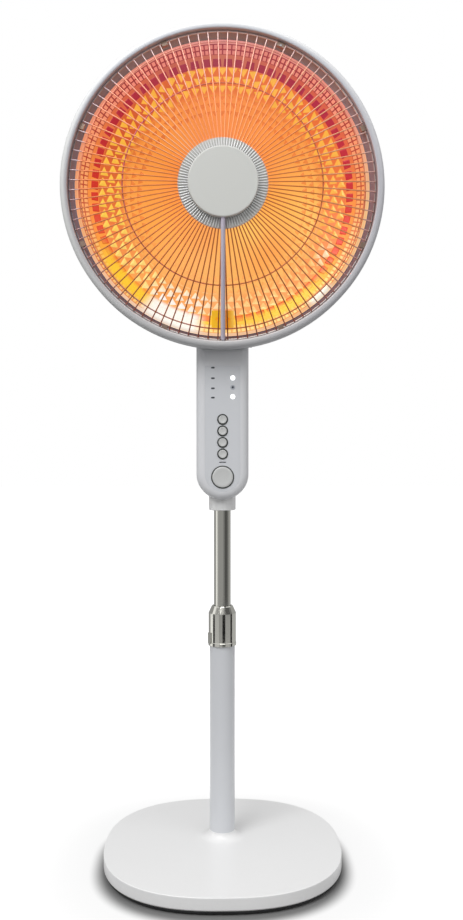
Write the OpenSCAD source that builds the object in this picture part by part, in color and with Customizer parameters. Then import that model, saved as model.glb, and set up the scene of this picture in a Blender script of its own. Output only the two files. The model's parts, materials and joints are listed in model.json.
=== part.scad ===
/* [Base] */
// Width of the base from side to side
base_w = 305; // [285:1:330]
// Depth of the base from front to back
base_d = 305; // [285:1:330]
// Squareness of the base outline, 2 being an ellipse
base_power = 2.42; // [2.2:0.01:3]
// Height of the base cover, from its lower edge to its top
cover_h = 16; // [14:0.5:22]
// Radius of the cover's upper edge
cover_edge = 1.2; // [0.8:0.2:3]
// Wall of the base cover
cover_wall = 3; // [2.5:0.25:4]
// How far the concave flare at the pole's foot reaches out
flare_reach = 14; // [8:0.5:18]
// Height of that flare
flare_h = 9; // [6:0.5:15]
// Distance of the pole's axis behind the middle of the base
pole_y = 23; // [0:1:40]
// Height of the rubber feet
foot_h = 3; // [3:0.5:6]
// Radius of a rubber foot
foot_r = 12; // [8:0.5:14]
// Distance of the feet from the base's middle lines
foot_reach = 88; // [70:1:94]
// Thickness of the under-plate
plate_t = 3; // [2:0.5:4]
// How far the under-plate stays inside the cover's outline
plate_inset = 2; // [1:0.25:2.25]
// Thickness of the ballast slab
ballast_t = 8; // [6:0.5:9]
// Width and depth of the ballast slab
ballast_w = 225; // [180:1:235]

/* [Pole] */
// Outer diameter of the fixed pole
pole_d = 33; // [31:0.5:36]
// Wall of the fixed pole
pole_wall = 1.5; // [1:0.1:2]
// Length of the fixed pole
pole_len = 291; // [270:1:400]
// Outer diameter of the sliding tube
tube_d = 22; // [19:0.5:24]
// Wall of the sliding tube
tube_wall = 1.2; // [0.8:0.1:2]
// Length of the sliding tube
tube_len = 299; // [250:1:305]
// Length of sliding tube that shows between collar and neck
tube_shown = 126; // [120:1:190]
// Length of the guide plug at the sliding tube's lower end
guide_len = 25; // [15:1:35]
// Length of the threaded plug in the pole's foot
plug_len = 28; // [20:1:34]
// Diameter of the bolt that holds the pole to the base
bolt_d = 8; // [6:0.5:10]
// Depth of the collet inside the pole
collet_depth = 40; // [25:1:50]

/* [Lock collar] */
// Outer diameter of the lock collar
collar_d = 36; // [36:0.5:42]
// How far the collar reaches down over the pole
collar_lap = 29; // [20:1:35]
// Height of the collar's straight part
collar_straight = 42.5; // [36:0.5:50]
// Height of the collar's tapered top
collar_taper = 9.5; // [9:0.5:14]
// Diameter of the collar's top face
collar_top_d = 28; // [27:0.5:32]
// Height of the grip tab on the collar
tab_h = 14; // [8:1:18]

/* [Neck and swivel] */
// Diameter of the neck below the control column
neck_d = 35; // [33:0.5:38]
// Height of the neck
neck_h = 26; // [22:1:34]
// Depth of the sliding tube's seat in the neck
tube_seat = 18; // [12:1:20]
// How far the neck sinks into the column's round bottom
neck_sink = 11.5; // [10:0.5:13]
// Diameter of the neck's bearing spigot
spigot_d = 24; // [20:0.5:26]
// Thickness of the swivel bearing
bearing_t = 7.4; // [5:0.1:8]
// Outer diameter of the swivel bearing
bearing_d = 42; // [38:0.5:43]
// Distance from the swivel axis to the motor shaft
shaft_y = 13; // [12:0.25:14]
// Distance from the motor shaft to the crank pin
crank_throw = 7.5; // [6:0.25:8]
// Diameter of the crank pin
pin_d = 5; // [4:0.25:6]
// Room beside the crank pin in its slot
pin_room = 1.2; // [1.1:0.05:1.5]
// Diameter of the swing motor
motor_d = 48; // [40:0.5:49]
// Height of the swing motor
motor_h = 16; // [12:0.5:20]

/* [Control column] */
// Width of the column
column_w = 67; // [66:0.5:72]
// Depth of the column from front to back
column_d = 64; // [63:0.5:70]
// Radius of the column's edges
column_edge = 10.5; // [8:0.5:11]
// Wall of the column's two shells
column_wall = 2.5; // [2:0.25:2.75]
// Height from the column's round bottom centre to the tilt axis
column_h = 174; // [170:1:200]
// Width of the inlaid control panel
panel_w = 45.5; // [40:0.5:45.5]
// Thickness of the control panel
panel_t = 1.2; // [0.8:0.1:1.4]
// Height of the panel's top edge above the round bottom's centre
panel_top = 138.5; // [137:0.5:144]
// Radius of a small button
button_r = 5.8; // [5:0.1:6]
// Spacing of the small buttons
button_pitch = 14.7; // [14.4:0.1:15.5]
// Height of the lowest small button above the round bottom's centre
button_low = 25.9; // [25:0.1:30]
// Radius of the power button
power_r = 13.2; // [11:0.1:13.5]
// Depth of the power button's centre below the round bottom's centre
power_drop = 3.8; // [0:0.1:4]
// How far the buttons stand out of the panel
button_proud = 1.5; // [1.2:0.1:3]
// Distance of the lamps from the column's middle line
lamp_x = 13; // [11:0.5:15]
// Height of the lowest lamp above the round bottom's centre
lamp_low = 99; // [98:0.5:104]
// Spacing of the lamps
lamp_pitch = 12; // [10:0.5:13]
// Radius of a lamp lens
lamp_r = 3; // [2.5:0.1:4]

/* [Tilt joint] */
// Radius of the column's rounded top around the tilt bolt
cheek_r = 18; // [16:0.5:20]
// Width of the slot between the cheeks
fork_gap = 26.2; // [24:0.2:30]
// Thickness of the steel yoke's ears
yoke_t = 3; // [2:0.25:4]
// Diameter of the tilt bolt
tilt_bolt_d = 8; // [6:0.5:10]
// Radius of the head bracket's lug
lug_r = 11; // [9:0.5:13]
// Thickness of a friction washer
washer_t = 1.8; // [1:0.1:2.5]
// Radius of the tilt knob
knob_r = 9.5; // [8:0.25:11]
// Thickness of the tilt knob
knob_t = 5.5; // [5:0.25:9]

/* [Head] */
// Outer diameter of the head's front ring
head_d = 404; // [396:1:420]
// How far the ring's lower edge hangs below the tilt axis
ring_drop = 16; // [2:1:16]
// Distance of the ring's front in front of the swivel axis
head_forward = 64; // [62:1:75]
// Width of the ring's pale front band
ring_band = 9.5; // [7.5:0.1:9.5]
// Depth of the ring from front to back
ring_depth = 24; // [23:0.5:27]
// Depth of the straight part of the ring's throat
throat_z = 12; // [11:0.5:14]
// How much the throat narrows towards the reflector
throat_in = 6; // [4:0.1:6]
// Depth of the reflector's rim behind the ring's front
rim_z = 20.7; // [20:0.1:21]
// Depth of the reflector from its rim to its middle
dish_depth = 62; // [50:1:70]
// Thickness of the reflector's sheet
dish_t = 1; // [0.6:0.1:1.2]
// Air space between the reflector and the back shell
shell_gap = 9; // [7:0.5:12]
// Wall of the back shell
shell_wall = 2; // [1.6:0.1:3]
// Number of cooling slots in the back shell
vent_count = 24; // [16:1:30]

/* [Guard] */
// Number of radial guard wires
wire_count = 96; // [80:16:96]
// Diameter of a radial guard wire
wire_d = 1.6; // [1.2:0.1:1.8]
// Height of the guard's crown over its rim
dome_rise = 15.5; // [12:0.5:20]
// Depth of the wires at the rim, behind the ring's front
dome_sink = 6.45; // [6.45:0.05:7]
// Diameter of the outermost hoop's wire
rim_hoop_d = 2.4; // [2:0.1:2.6]
// Diameter of the inner hoops' wire
hoop_d = 1.6; // [1.6:0.1:2.4]
// Distance from the rim hoop to the outer of the two inner hoops
hoop_outer_in = 13.5; // [11.5:0.5:21]
// Distance from the rim hoop to the inner of the two inner hoops
hoop_inner_in = 66.5; // [56:0.5:76]
// Diameter of the conduit that runs down over the guard
conduit_d = 6; // [5:0.25:6.5]

/* [Hub and heating element] */
// Radius of the disc under the inner ends of the wires
disc_r = 56; // [54:0.5:60]
// Thickness of the disc
disc_t = 1.5; // [1:0.1:2]
// Radius of the round cap in the middle
cap_r = 43.3; // [42:0.1:46]
// Height of the cap
cap_h = 8; // [7:0.5:11]
// Wall of the cap
cap_wall = 2; // [1.5:0.25:2.5]
// Radius of the heating ring's centre line
element_r = 36; // [30:0.5:40]
// Outer radius of the heating ring's quartz tube
quartz_r = 6; // [5:0.25:6.5]
// Wall of the quartz tube
quartz_wall = 1.2; // [0.8:0.1:1.6]
// Radius of the carbon filament
filament_r = 1.6; // [1:0.1:2]
// Open angle of the heating ring at its bottom
element_gap = 60; // [50:1:80]
// Distance from the disc's back to the heat shield
shield_gap = 6; // [5:0.5:9]
// Width of the ceramic terminal block
block_w = 28; // [24:0.5:32]
// Radial height of the terminal block
block_h = 22; // [16:0.5:24]
// Distance from the reflector's rim to the middle of the terminal block
block_inset = 21; // [20:0.5:28]
// How far the terminal block's face stays behind the reflector's rim
block_sink = 1.5; // [1:0.5:6]

/* [Hidden] */
$fn = 64;

// Clearances: a running fit, a loose gap between bodies, and a cut's overrun
fit = 0.05;
gap = 0.3;
eps = 1;

// Heights of the base and the pole, from the floor up
plate_top = foot_h + plate_t;
cover_top = plate_top + cover_h;
pole_z = plate_top + ballast_t;
pole_top = pole_z + pole_len;
pole_r = pole_d / 2;
bore_r = pole_r - pole_wall;
tube_r = tube_d / 2;
plate_screw_x = base_w / 2 - 24.5;
plate_screw_y = 40;
base_screw_len = 10;
boss_wall = 3.5;
flare_lip = 0.6;

// Heights of the collet and the lock collar
collet_flange = 3;
finger_h = 13;
finger_low = pole_r - 0.9;
finger_top = pole_r - 3.3;
finger_z = pole_top + collet_flange;
collar_r = collar_d / 2;
collar_z = pole_top - collar_lap;
collar_top = collar_z + collar_straight + collar_taper;
cone_gap = 0.5;

// Heights of the neck and the swing drive
neck_z = collar_top + tube_shown;
neck_top = neck_z + neck_h;
tube_top = neck_z + tube_seat;
tube_z = tube_top - tube_len;
bearing_z = neck_top + gap;
bearing_top = bearing_z + bearing_t;
spigot_top = bearing_top + gap;
swing_t = 3;
swing_top = spigot_top + swing_t;
swing_head_r = 4.5;
swing_head_h = 2.2;
crank_z = swing_top + swing_head_h + 0.4;
crank_t = 3;
crank_top = crank_z + crank_t;
motor_z = crank_top + 3.4;
motor_y = pole_y + 4;
motor_top = motor_z + motor_h;
shaft_r = 3;
pin_r = pin_d / 2;
slot_r = pin_r + pin_room;
slot_near = shaft_y - 2.6;
slot_far = shaft_y + crank_throw;
ear_x = motor_d / 2 + 3.4;
ear_t = 1.2;

// Places on the control column
col_r = column_w / 2;
col_z = neck_top - neck_sink + col_r;
front_y = pole_y - column_d / 2;
back_y = pole_y + column_d / 2;
floor_z = bearing_top + 0.1;
inner_front = front_y + column_wall;
inner_back = back_y - column_wall;
tilt_z = col_z + column_h;
shoulder_z = tilt_z - 15;
fork_z = tilt_z - 24;
fork_wall = 2.5;
fork_lip = 8;
board_t = 1.6;
board_y = inner_front + 6.1;
board_w = 40;
board_z = floor_z + 1.2;
board_top = col_z + panel_top - 4;
button_count = 4;
flange_gap = 0.3;
flange_t = 1;
switch_t = 3;
post_x = 17;
post_low = col_z + button_low + 1;
post_high = lamp_z(2) + 7.2;
boss_x = col_r - 8;
screw_grip = 12;
boss_low = col_z + 38;
boss_high = tilt_z - 40;
gland_z = col_z + 32;
tip_w = 20;
tip_d = 13;
tip_h = 26;
tip_z = col_z + 62;
tab_w = 3;
tab_l = 5;
gland_r = 6;
cord_r = 3.6;
panel_bottom_r = panel_w / 2;

// Places on the head; its own frame has z forward and y up
ring_r = head_d / 2;
head_z = tilt_z - ring_drop + ring_r;
ring_y = pole_y - head_forward;
mouth_r = ring_r - ring_band;
lip_r = mouth_r - throat_in - 1;
dish_r = lip_r - 1;
flange_r = dish_r + 6;
ring_wall = 2.5;
skirt_r = ring_r - ring_wall;
rim_hoop_r = mouth_r - gap - rim_hoop_d / 2 - 0.1;
hoop_outer_r = rim_hoop_r - hoop_outer_in;
hoop_inner_r = rim_hoop_r - hoop_inner_in;
block_r = dish_r - block_inset;
wire_r = wire_d / 2;
dome_r = (pow(rim_hoop_r, 2) + pow(dome_rise, 2)) / (2 * dome_rise);
dome_top = dome_rise - dome_sink;
wire_end = cap_r - 5.3;
conduit_r = conduit_d / 2;
conduit_lift = wire_r + conduit_r + gap;
conduit_out = mouth_r - gap - conduit_r;
disc_z = wire_z(disc_r) - wire_r - 0.1;
cap_z = wire_z(wire_end) + wire_r + 0.2;
shield_z = disc_z - disc_t - shield_gap;
shield_t = 0.8;
element_z = shield_z - shield_t - 3 - quartz_r;
cap_len = 12;
lead_r = 0.6;
cap_ring = quartz_r + 1;
clip_count = 8;
lock_clip = 1;
shell_back = dish_t + shell_gap + shell_wall;
vent_in = 70;
vent_out = 112;
bracket_w = fork_gap - 2 * (yoke_t + washer_t + 0.2);
arm_front = 12;
arm_back = 14;
arm_lap = 20;
pad_w = 50;
pad_h = 28;
pad_r = 110;
pad_back = 18;
pad_low = head_z - pad_r - pad_h / 2;
pad_screw_x = pad_w / 2 - 7;
pad_screw_y = pole_y + 10;
pad_seat = 6;
pad_screw_len = 12;
vent_r = 2.5;
vent_clear = asin((pad_w / 2 + 2 * vent_r) / (pad_r - pad_h / 2));
shell_seat = 5.5;
shell_screw_len = 13;
cut_back = -rim_z - dish_depth - shell_back - eps;
steps = 14;

function wire_z(r) = dome_top - dome_r + sqrt(dome_r * dome_r - r * r);
function dish_z(r) = -rim_z - dish_depth * (1 - pow(r / dish_r, 2));
function lamp_z(i) = col_z + lamp_low + i * lamp_pitch;
function button_z(i) = col_z + button_low + i * button_pitch;
function hoop_z(r, d) = wire_z(r) - wire_r - d / 2 - 0.05;
function clip_angle(i) = (i + 0.5) * 360 / clip_count;
function arc(cx, cy, r, a0, a1, n = 6) =
    [for (i = [0 : n]) let (a = a0 + (a1 - a0) * i / n) [cx + r * cos(a), cy + r * sin(a)]];
function bowl(back, r0, r1, n) =
    [for (i = [0 : n]) let (r = r0 + (r1 - r0) * i / n) [r, dish_z(r) - back]];
function super_x(a, w) = w / 2 * sign(cos(a)) * pow(abs(cos(a)), 2 / base_power);
function super_y(a, d) = d / 2 * sign(sin(a)) * pow(abs(sin(a)), 2 / base_power);

// Rounded square outline of the base, drawn in by an inset
module base_outline(inset) {
    polygon([for (a = [0 : 3 : 357])
        [super_x(a, base_w - 2 * inset), super_y(a, base_d - 2 * inset)]]);
}

// A closed solid through base outlines, each ring given as [height, inset]
module base_loft(rings) {
    turn = [for (a = [0 : 3 : 357]) a];
    n = len(turn);
    last = (len(rings) - 1) * n;
    points = [for (q = rings, a = turn)
        [super_x(a, base_w - 2 * q[1]), super_y(a, base_d - 2 * q[1]), q[0]]];
    sides = [for (k = [0 : len(rings) - 2], i = [0 : n - 1]) let (j = (i + 1) % n)
        each [[k * n + i, k * n + n + i, k * n + j], [k * n + j, k * n + n + i, k * n + n + j]]];
    polyhedron(points, concat(sides,
        [[for (i = [0 : n - 1]) i], [for (i = [n - 1 : -1 : 0]) last + i]]));
}

// Four places, mirrored about both middle lines
module four(x, y) {
    for (sx = [-1, 1], sy = [-1, 1]) translate([sx * x, sy * y, 0]) children();
}

// Two places, mirrored about the middle plane
module pair(x) {
    for (s = [-1, 1]) translate([s * x, 0, 0]) children();
}

// A tube standing on its lower end
module tube(outer, inner, z0, z1) {
    translate([0, 0, z0]) difference() {
        cylinder(r = outer, h = z1 - z0);
        translate([0, 0, -eps]) cylinder(r = inner, h = z1 - z0 + 2 * eps);
    }
}

// A round bar along z between two heights
module bar(r, z0, z1) {
    translate([0, 0, z0]) cylinder(r = r, h = z1 - z0);
}

// A screw whose head stands on z = 0 and whose shank points down
module screw(r, length, head_r, head_h) {
    translate([0, 0, -length]) cylinder(r = r, h = length);
    difference() {
        cylinder(r = head_r, h = head_h);
        translate([0, 0, head_h * 0.45]) {
            translate([-head_r * 0.55, -0.35, 0]) cube([head_r * 1.1, 0.7, head_h]);
            translate([-0.35, -head_r * 0.55, 0]) cube([0.7, head_r * 1.1, head_h]);
        }
    }
}

module on_pole() {
    translate([0, pole_y, 0]) children();
}

// Turns z to point to the front (-y)
module facing(y, z) {
    translate([0, y, z]) rotate([90, 0, 0]) children();
}

// Turns z to point to the back (+y)
module backing(y, z) {
    translate([0, y, z]) rotate([-90, 0, 0]) children();
}

// Turns z to point to the side (+x), through the tilt axis
module on_tilt() {
    translate([0, pole_y, tilt_z]) rotate([0, 90, 0]) children();
}

// The head's own frame
module on_head() {
    facing(ring_y, head_z) children();
}

module flare_profile() {
    start = pole_r + flare_lip;
    polygon(concat([[pole_r, cover_top - 1], [pole_r, cover_top + flare_h]],
        [for (p = arc(1, 1, 1, 180, 270, 10))
            [start + flare_reach * p[0], cover_top + flare_h * p[1]]],
        [[start + flare_reach, cover_top - 1]]));
}

module base_shell() {
    color("whitesmoke") difference() {
        union() {
            difference() {
                base_loft(concat([[plate_top, 1], [plate_top + 1.5, 0]],
                    [for (a = [0 : 18 : 90])
                        [cover_top - cover_edge * (1 - sin(a)), cover_edge * (1 - cos(a))]]));
                base_loft([[plate_top - eps, cover_wall],
                    [cover_top - cover_wall - 2, cover_wall],
                    [cover_top - cover_wall, cover_wall + 2]]);
            }
            on_pole() bar(pole_r + boss_wall, pole_z, cover_top);
            on_pole() rotate_extrude($fn = 96) flare_profile();
            four(plate_screw_x, plate_screw_y)
                bar(boss_wall + 0.5, plate_top, cover_top - cover_wall + 1);
        }
        on_pole() bar(pole_r + fit, plate_top, cover_top + flare_h + eps);
        four(plate_screw_x, plate_screw_y)
            bar(1.5 + fit, plate_top - eps, foot_h + base_screw_len + 2);
    }
}

module base_weight() {
    color("dimgray") difference() {
        translate([0, 0, plate_top]) linear_extrude(ballast_t)
            base_outline((base_w - ballast_w) / 2);
        on_pole() bar(bolt_d / 2 + fit, plate_top - eps, pole_z + eps);
    }
}

module base_plate() {
    color("black") difference() {
        translate([0, 0, foot_h]) linear_extrude(plate_t) base_outline(plate_inset);
        on_pole() bar(bolt_d + 4, 0, plate_top + eps);
        four(foot_reach, foot_reach) bar(4 + fit, 0, plate_top + eps);
        four(plate_screw_x, plate_screw_y) bar(1.5 + fit, 0, plate_top + eps);
    }
}

module base_feet() {
    color("black") four(foot_reach, foot_reach) {
        bar(foot_r - 1, 0, 1);
        bar(foot_r, 1, foot_h);
        bar(4, foot_h, plate_top);
    }
}

module base_screws() {
    color("silver") four(plate_screw_x, plate_screw_y)
        translate([0, 0, foot_h]) rotate([180, 0, 0]) screw(1.5, base_screw_len, 3.5, 2.2);
}

module pole_bolt() {
    color("silver") on_pole() {
        bar(bolt_d / 2, plate_top, pole_z + plug_len - 4);
        translate([0, 0, plate_top - 5]) difference() {
            cylinder(r = bolt_d * 0.85, h = 5);
            translate([0, 0, -eps]) cylinder(r = bolt_d * 0.4, h = 4, $fn = 6);
        }
    }
}

module pole_plug() {
    color("gray") on_pole() difference() {
        bar(bore_r - fit, pole_z, pole_z + plug_len);
        bar(bolt_d / 2 + fit, pole_z - eps, pole_z + plug_len - 2);
    }
}

module outer_pole() {
    color("white") on_pole() tube(pole_r, bore_r, pole_z, pole_top);
}

module collet() {
    color("lightgray") on_pole() difference() {
        union() {
            bar(bore_r - fit, pole_top - collet_depth, pole_top);
            bar(pole_r - 0.1, pole_top, finger_z);
            translate([0, 0, finger_z])
                cylinder(r1 = finger_low, r2 = finger_top, h = finger_h);
        }
        bar(tube_r + 0.08, pole_top - collet_depth - eps, finger_z + finger_h + eps);
        for (a = [0, 90]) rotate(a)
            translate([-pole_r, -0.75, finger_z + 2]) cube([pole_d, 1.5, finger_h]);
    }
}

module lock_collar_profile() {
    inner = pole_r + gap;
    low = finger_z + 0.5;
    high = finger_z + finger_h + gap;
    shoulder = collar_z + collar_straight;
    polygon([[inner, collar_z], [collar_r + 0.4, collar_z],
        [collar_r + 0.4, collar_z + 4], [collar_r, collar_z + 4.5],
        [collar_r, shoulder], [collar_top_d / 2, collar_top - 0.8],
        [collar_top_d / 2 - 0.8, collar_top], [tube_r + 0.5, collar_top],
        [tube_r + 0.5, high], [finger_top + cone_gap, high],
        [finger_low + cone_gap, low], [inner, low]]);
}

module lock_collar() {
    color("silver") on_pole() {
        rotate_extrude($fn = 96) lock_collar_profile();
        rotate(205) difference() {
            translate([collar_r - 1.2, -3, collar_z + 3]) cube([2.8, 6, tab_h]);
            bar(collar_r - 0.6, collar_z, collar_top);
        }
    }
}

module inner_tube() {
    color("silver") on_pole() difference() {
        tube(tube_r, tube_r - tube_wall, tube_z, tube_top);
        backing(0, neck_z + 9) cylinder(r = 2.1, h = tube_r + eps);
    }
}

module tube_guide() {
    color("gray") on_pole() difference() {
        bar(bore_r - 0.08, tube_z - 10, tube_z - 10 + guide_len);
        bar(tube_r + fit, tube_z, tube_z + guide_len);
        bar(tube_r - tube_wall - 1, tube_z - 11, tube_z + eps);
    }
}

module neck() {
    color("white") on_pole() difference() {
        union() {
            translate([0, 0, neck_z]) cylinder(r1 = neck_d / 2 - 0.8, r2 = neck_d / 2, h = 0.8);
            bar(neck_d / 2, neck_z + 0.8, neck_top);
            bar(spigot_d / 2, neck_top, spigot_top);
        }
        bar(tube_r + fit, neck_z - eps, tube_top);
        bar(2.5 + fit, tube_top + 1.5, spigot_top + eps);
        backing(0, neck_z + 9) cylinder(r = 2 + fit, h = neck_d);
    }
}

module neck_screw() {
    color("dimgray") on_pole() difference() {
        backing(tube_r - tube_wall - 1, neck_z + 9)
            cylinder(r = 2, h = neck_d / 2 - tube_r + tube_wall);
        backing(neck_d / 2 - 2, neck_z + 9) cylinder(r = 1, h = 3, $fn = 6);
    }
}

module swing_plate() {
    end = slot_far + slot_r + 2.8;
    color("silver") on_pole() difference() {
        union() {
            bar(spigot_d / 2 + 2.5, spigot_top, swing_top);
            translate([-slot_r - 2.8, 0, spigot_top]) cube([2 * slot_r + 5.6, end, swing_t]);
        }
        bar(2.5 + fit, spigot_top - eps, swing_top + eps);
        for (y = [slot_near, slot_far]) translate([0, y, 0])
            bar(slot_r, spigot_top - eps, swing_top + eps);
        translate([-slot_r, slot_near, spigot_top - eps])
            cube([2 * slot_r, slot_far - slot_near, swing_t + 2 * eps]);
    }
}

module swing_screw() {
    color("gray") on_pole() translate([0, 0, swing_top])
        screw(2.5, spigot_top - tube_top + swing_t - 2.5, swing_head_r, swing_head_h);
}

// Outline of the column seen from above, drawn in by an inset
module column_plan(inset) {
    w = column_w - 2 * inset;
    d = column_d - 2 * inset;
    r = column_edge - inset;
    square([w, d - 2 * r], center = true);
    square([w - 2 * r, d], center = true);
    for (sx = [-1, 1], sy = [-1, 1])
        translate([sx * (w / 2 - r), sy * (d / 2 - r)]) circle(r);
}

// The column's solid: a round bottom under a straight upright
module column_solid(inset) {
    translate([0, pole_y, col_z]) {
        rotate([-90, 0, 0]) rotate_extrude(angle = 180, $fn = 96) intersection() {
            column_plan(inset);
            translate([0, -column_d]) square([column_w, 2 * column_d]);
        }
        linear_extrude(column_h + cheek_r + eps) column_plan(inset);
    }
}

// The column's outline seen from the side, drawn in by an inset
module column_side(inset) {
    translate([-column_w, 0, 0]) rotate([90, 0, 90]) linear_extrude(2 * column_w) hull() {
        translate([pole_y, tilt_z]) circle(cheek_r - inset, $fn = 64);
        translate([front_y + inset, neck_z])
            square([column_d - 2 * inset, shoulder_z - neck_z - inset]);
    }
}

module column_cavity() {
    difference() {
        intersection() {
            column_solid(column_wall);
            column_side(column_wall);
            translate([-column_w, front_y, floor_z])
                cube([2 * column_w, column_d, tilt_z]);
        }
        translate([-fork_gap / 2 - fork_wall, front_y, fork_z - fork_wall])
            cube([fork_gap + 2 * fork_wall, column_d, column_h]);
    }
}

// What both shells of the column leave open
module column_cuts() {
    on_pole() {
        bar(neck_d / 2 + gap, neck_z, bearing_z + 0.01);
        bar(bearing_d / 2 + fit, bearing_z - 0.1, floor_z + 0.01);
    }
    translate([-fork_gap / 2, front_y + fork_lip, fork_z])
        cube([fork_gap, column_d, column_h]);
    on_tilt() bar(tilt_bolt_d / 2 + gap, -column_w, column_w);
    on_tilt() bar(7.4, -col_r - eps, -col_r + 4.2);
    pair(ear_x) translate([0, motor_y, 0]) bar(1.3, motor_z - 9, motor_z + eps);
    for (y = [-6, 6]) on_pole() translate([0, y, 0]) bar(1.3, fork_z - 2, fork_z + eps);
}

module motor_posts() {
    intersection() {
        pair(ear_x) translate([0, motor_y, 0]) bar(3.4, floor_z - 1, motor_z);
        column_solid(0.5);
    }
}

// The long screw bosses inside the column
module column_bosses(y0, y1) {
    intersection() {
        for (z = [boss_low, boss_high]) pair(boss_x)
            backing(y0, z) cylinder(r = 3.6, h = y1 - y0);
        column_solid(0.5);
    }
}

module front_half() {
    translate([-column_w, front_y - eps, neck_z - eps])
        cube([2 * column_w, column_d / 2 + eps, tilt_z]);
}

module rear_half() {
    translate([-column_w, pole_y, neck_z - eps])
        cube([2 * column_w, column_d / 2 + eps, tilt_z]);
}

// Outline of the inlaid panel, drawn out by a margin
module panel_outline(margin) {
    translate([0, col_z]) circle(panel_bottom_r + margin, $fn = 96);
    translate([-panel_w / 2 - margin, col_z])
        square([panel_w + 2 * margin, panel_top + margin]);
}

module panel_block(margin, t) {
    translate([0, front_y + t, 0]) rotate([90, 0, 0]) linear_extrude(t + (margin > 0 ? eps : 0))
        panel_outline(margin);
}

module button_places() {
    for (i = [0 : button_count - 1]) translate([0, 0, button_z(i)]) children();
}

module lamp_places() {
    for (i = [0 : 2]) translate([lamp_x, 0, lamp_z(i)]) children();
}

module housing_front() {
    color("whitesmoke") difference() {
        union() {
            difference() {
                intersection() {
                    column_solid(0);
                    column_side(0);
                    front_half();
                }
                column_cavity();
            }
            column_bosses(inner_front - 1, pole_y);
            pair(post_x) for (z = [post_low, post_high])
                backing(inner_front - 1, z) cylinder(r = 2.6, h = board_y - inner_front + 1);
        }
        column_cuts();
        panel_block(0.1, panel_t);
        button_places() backing(front_y - eps, 0)
            cylinder(r = button_r + 0.2, h = column_wall + 2 * eps);
        translate([0, 0, col_z - power_drop]) {
            backing(front_y - eps, 0) cylinder(r = power_r + 0.2, h = column_wall + 3 * eps);
            backing(inner_front, 0) cylinder(r = power_r + 1.8, h = board_y - inner_front - 1);
        }
        lamp_places() backing(front_y - eps, 0)
            cylinder(r = lamp_r + fit, h = column_wall + 2 * eps);
        for (z = [boss_low, boss_high]) pair(boss_x)
            backing(pole_y - screw_grip - 2, z) cylinder(r = 1.5 + fit, h = screw_grip + 3);
        pair(post_x) for (z = [post_low, post_high])
            backing(inner_front + 0.5, z) cylinder(r = 1.2 + fit, h = board_y - inner_front);
    }
}

module housing_rear() {
    color("whitesmoke") difference() {
        union() {
            difference() {
                intersection() {
                    column_solid(0);
                    column_side(0);
                    rear_half();
                }
                column_cavity();
            }
            column_bosses(pole_y, inner_back + 1);
            intersection() {
                motor_posts();
                rear_half();
            }
        }
        column_cuts();
        for (z = [boss_low, boss_high]) pair(boss_x) {
            backing(pole_y - eps, z) cylinder(r = 1.8, h = column_d);
            backing(inner_back - 1.5, z) cylinder(r = 3.3, h = column_d);
        }
        backing(inner_back - eps, gland_z)
            cylinder(r = gland_r + fit, h = column_wall + 2 * eps);
    }
}

module control_panel() {
    color("lightsteelblue") difference() {
        panel_block(0, panel_t);
        button_places() backing(front_y - eps, 0)
            cylinder(r = button_r + 1.2, h = panel_t + 2 * eps);
        translate([0, 0, col_z - power_drop]) backing(front_y - eps, 0)
            cylinder(r = power_r + 1.2, h = panel_t + 2 * eps);
        lamp_places() backing(front_y - eps, 0)
            cylinder(r = lamp_r + fit, h = panel_t + 2 * eps);
    }
}

module lamp_lenses() {
    color("ghostwhite") lamp_places() backing(front_y - 0.3, 0) {
        cylinder(r1 = lamp_r - 0.4, r2 = lamp_r, h = 0.4);
        translate([0, 0, 0.4]) cylinder(r = lamp_r, h = column_wall - 0.4);
    }
}

module circuit_board() {
    color("seagreen") difference() {
        union() {
            translate([-board_w / 2, board_y, board_z])
                cube([board_w, board_t, board_top - board_z]);
            lamp_places() backing(inner_front + gap, 0)
                cylinder(r = lamp_r - 1, h = board_y - inner_front - gap);
        }
        pair(post_x) for (z = [post_low, post_high])
            backing(board_y - eps, z) cylinder(r = 1.2 + fit, h = board_t + 2 * eps);
    }
}

module switch_body(size) {
    translate([-size / 2, board_y - switch_t, -size / 2]) cube([size, switch_t, size]);
}

module tact_switches() {
    color("dimgray") {
        button_places() switch_body(6);
        translate([0, 0, col_z - power_drop]) switch_body(9);
    }
}

module swivel_bearing() {
    color("ivory") on_pole() tube(bearing_d / 2, spigot_d / 2 + fit, bearing_z, bearing_top);
}

module swing_motor() {
    color("silver") difference() {
        union() {
            translate([0, motor_y, 0]) bar(motor_d / 2, motor_z, motor_top);
            translate([-ear_x, motor_y - 3, motor_z]) cube([2 * ear_x, 6, ear_t]);
            pair(ear_x) translate([0, motor_y, 0]) bar(3, motor_z, motor_z + ear_t);
        }
        translate([0, pole_y + shaft_y, 0]) bar(shaft_r + fit, motor_z - eps, motor_z + 8);
        pair(ear_x) translate([0, motor_y, 0]) bar(1.3, motor_z - eps, motor_z + 2 * ear_t);
    }
}

module inner_screws() {
    color("gray") {
        pair(ear_x) translate([0, motor_y, motor_z + ear_t]) screw(1.25, 8, 2.6, 1.8);
        pair(post_x) for (z = [post_low, post_high])
            backing(board_y + board_t, z) screw(1.2, 6, 2.4, 1.5);
        for (y = [-6, 6]) on_pole() translate([0, y, fork_z + yoke_t])
            screw(1.25, 4.5, 2.4, 1.5);
    }
}

module tip_over_switch() {
    color("darkslategray") translate([-tip_w / 2, inner_back - tip_d, tip_z]) {
        cube([tip_w, tip_d, tip_h]);
        for (x = [tip_w / 4, tip_w * 3 / 4]) translate([x - tab_w / 2, 2, tip_h])
            cube([tab_w, 1, tab_l]);
    }
}

module housing_screws() {
    color("gray") for (z = [boss_low, boss_high]) pair(boss_x)
        backing(inner_back - 1.5, z) screw(1.5, inner_back - 1.5 - pole_y + screw_grip, 3, 2.2);
}

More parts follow.
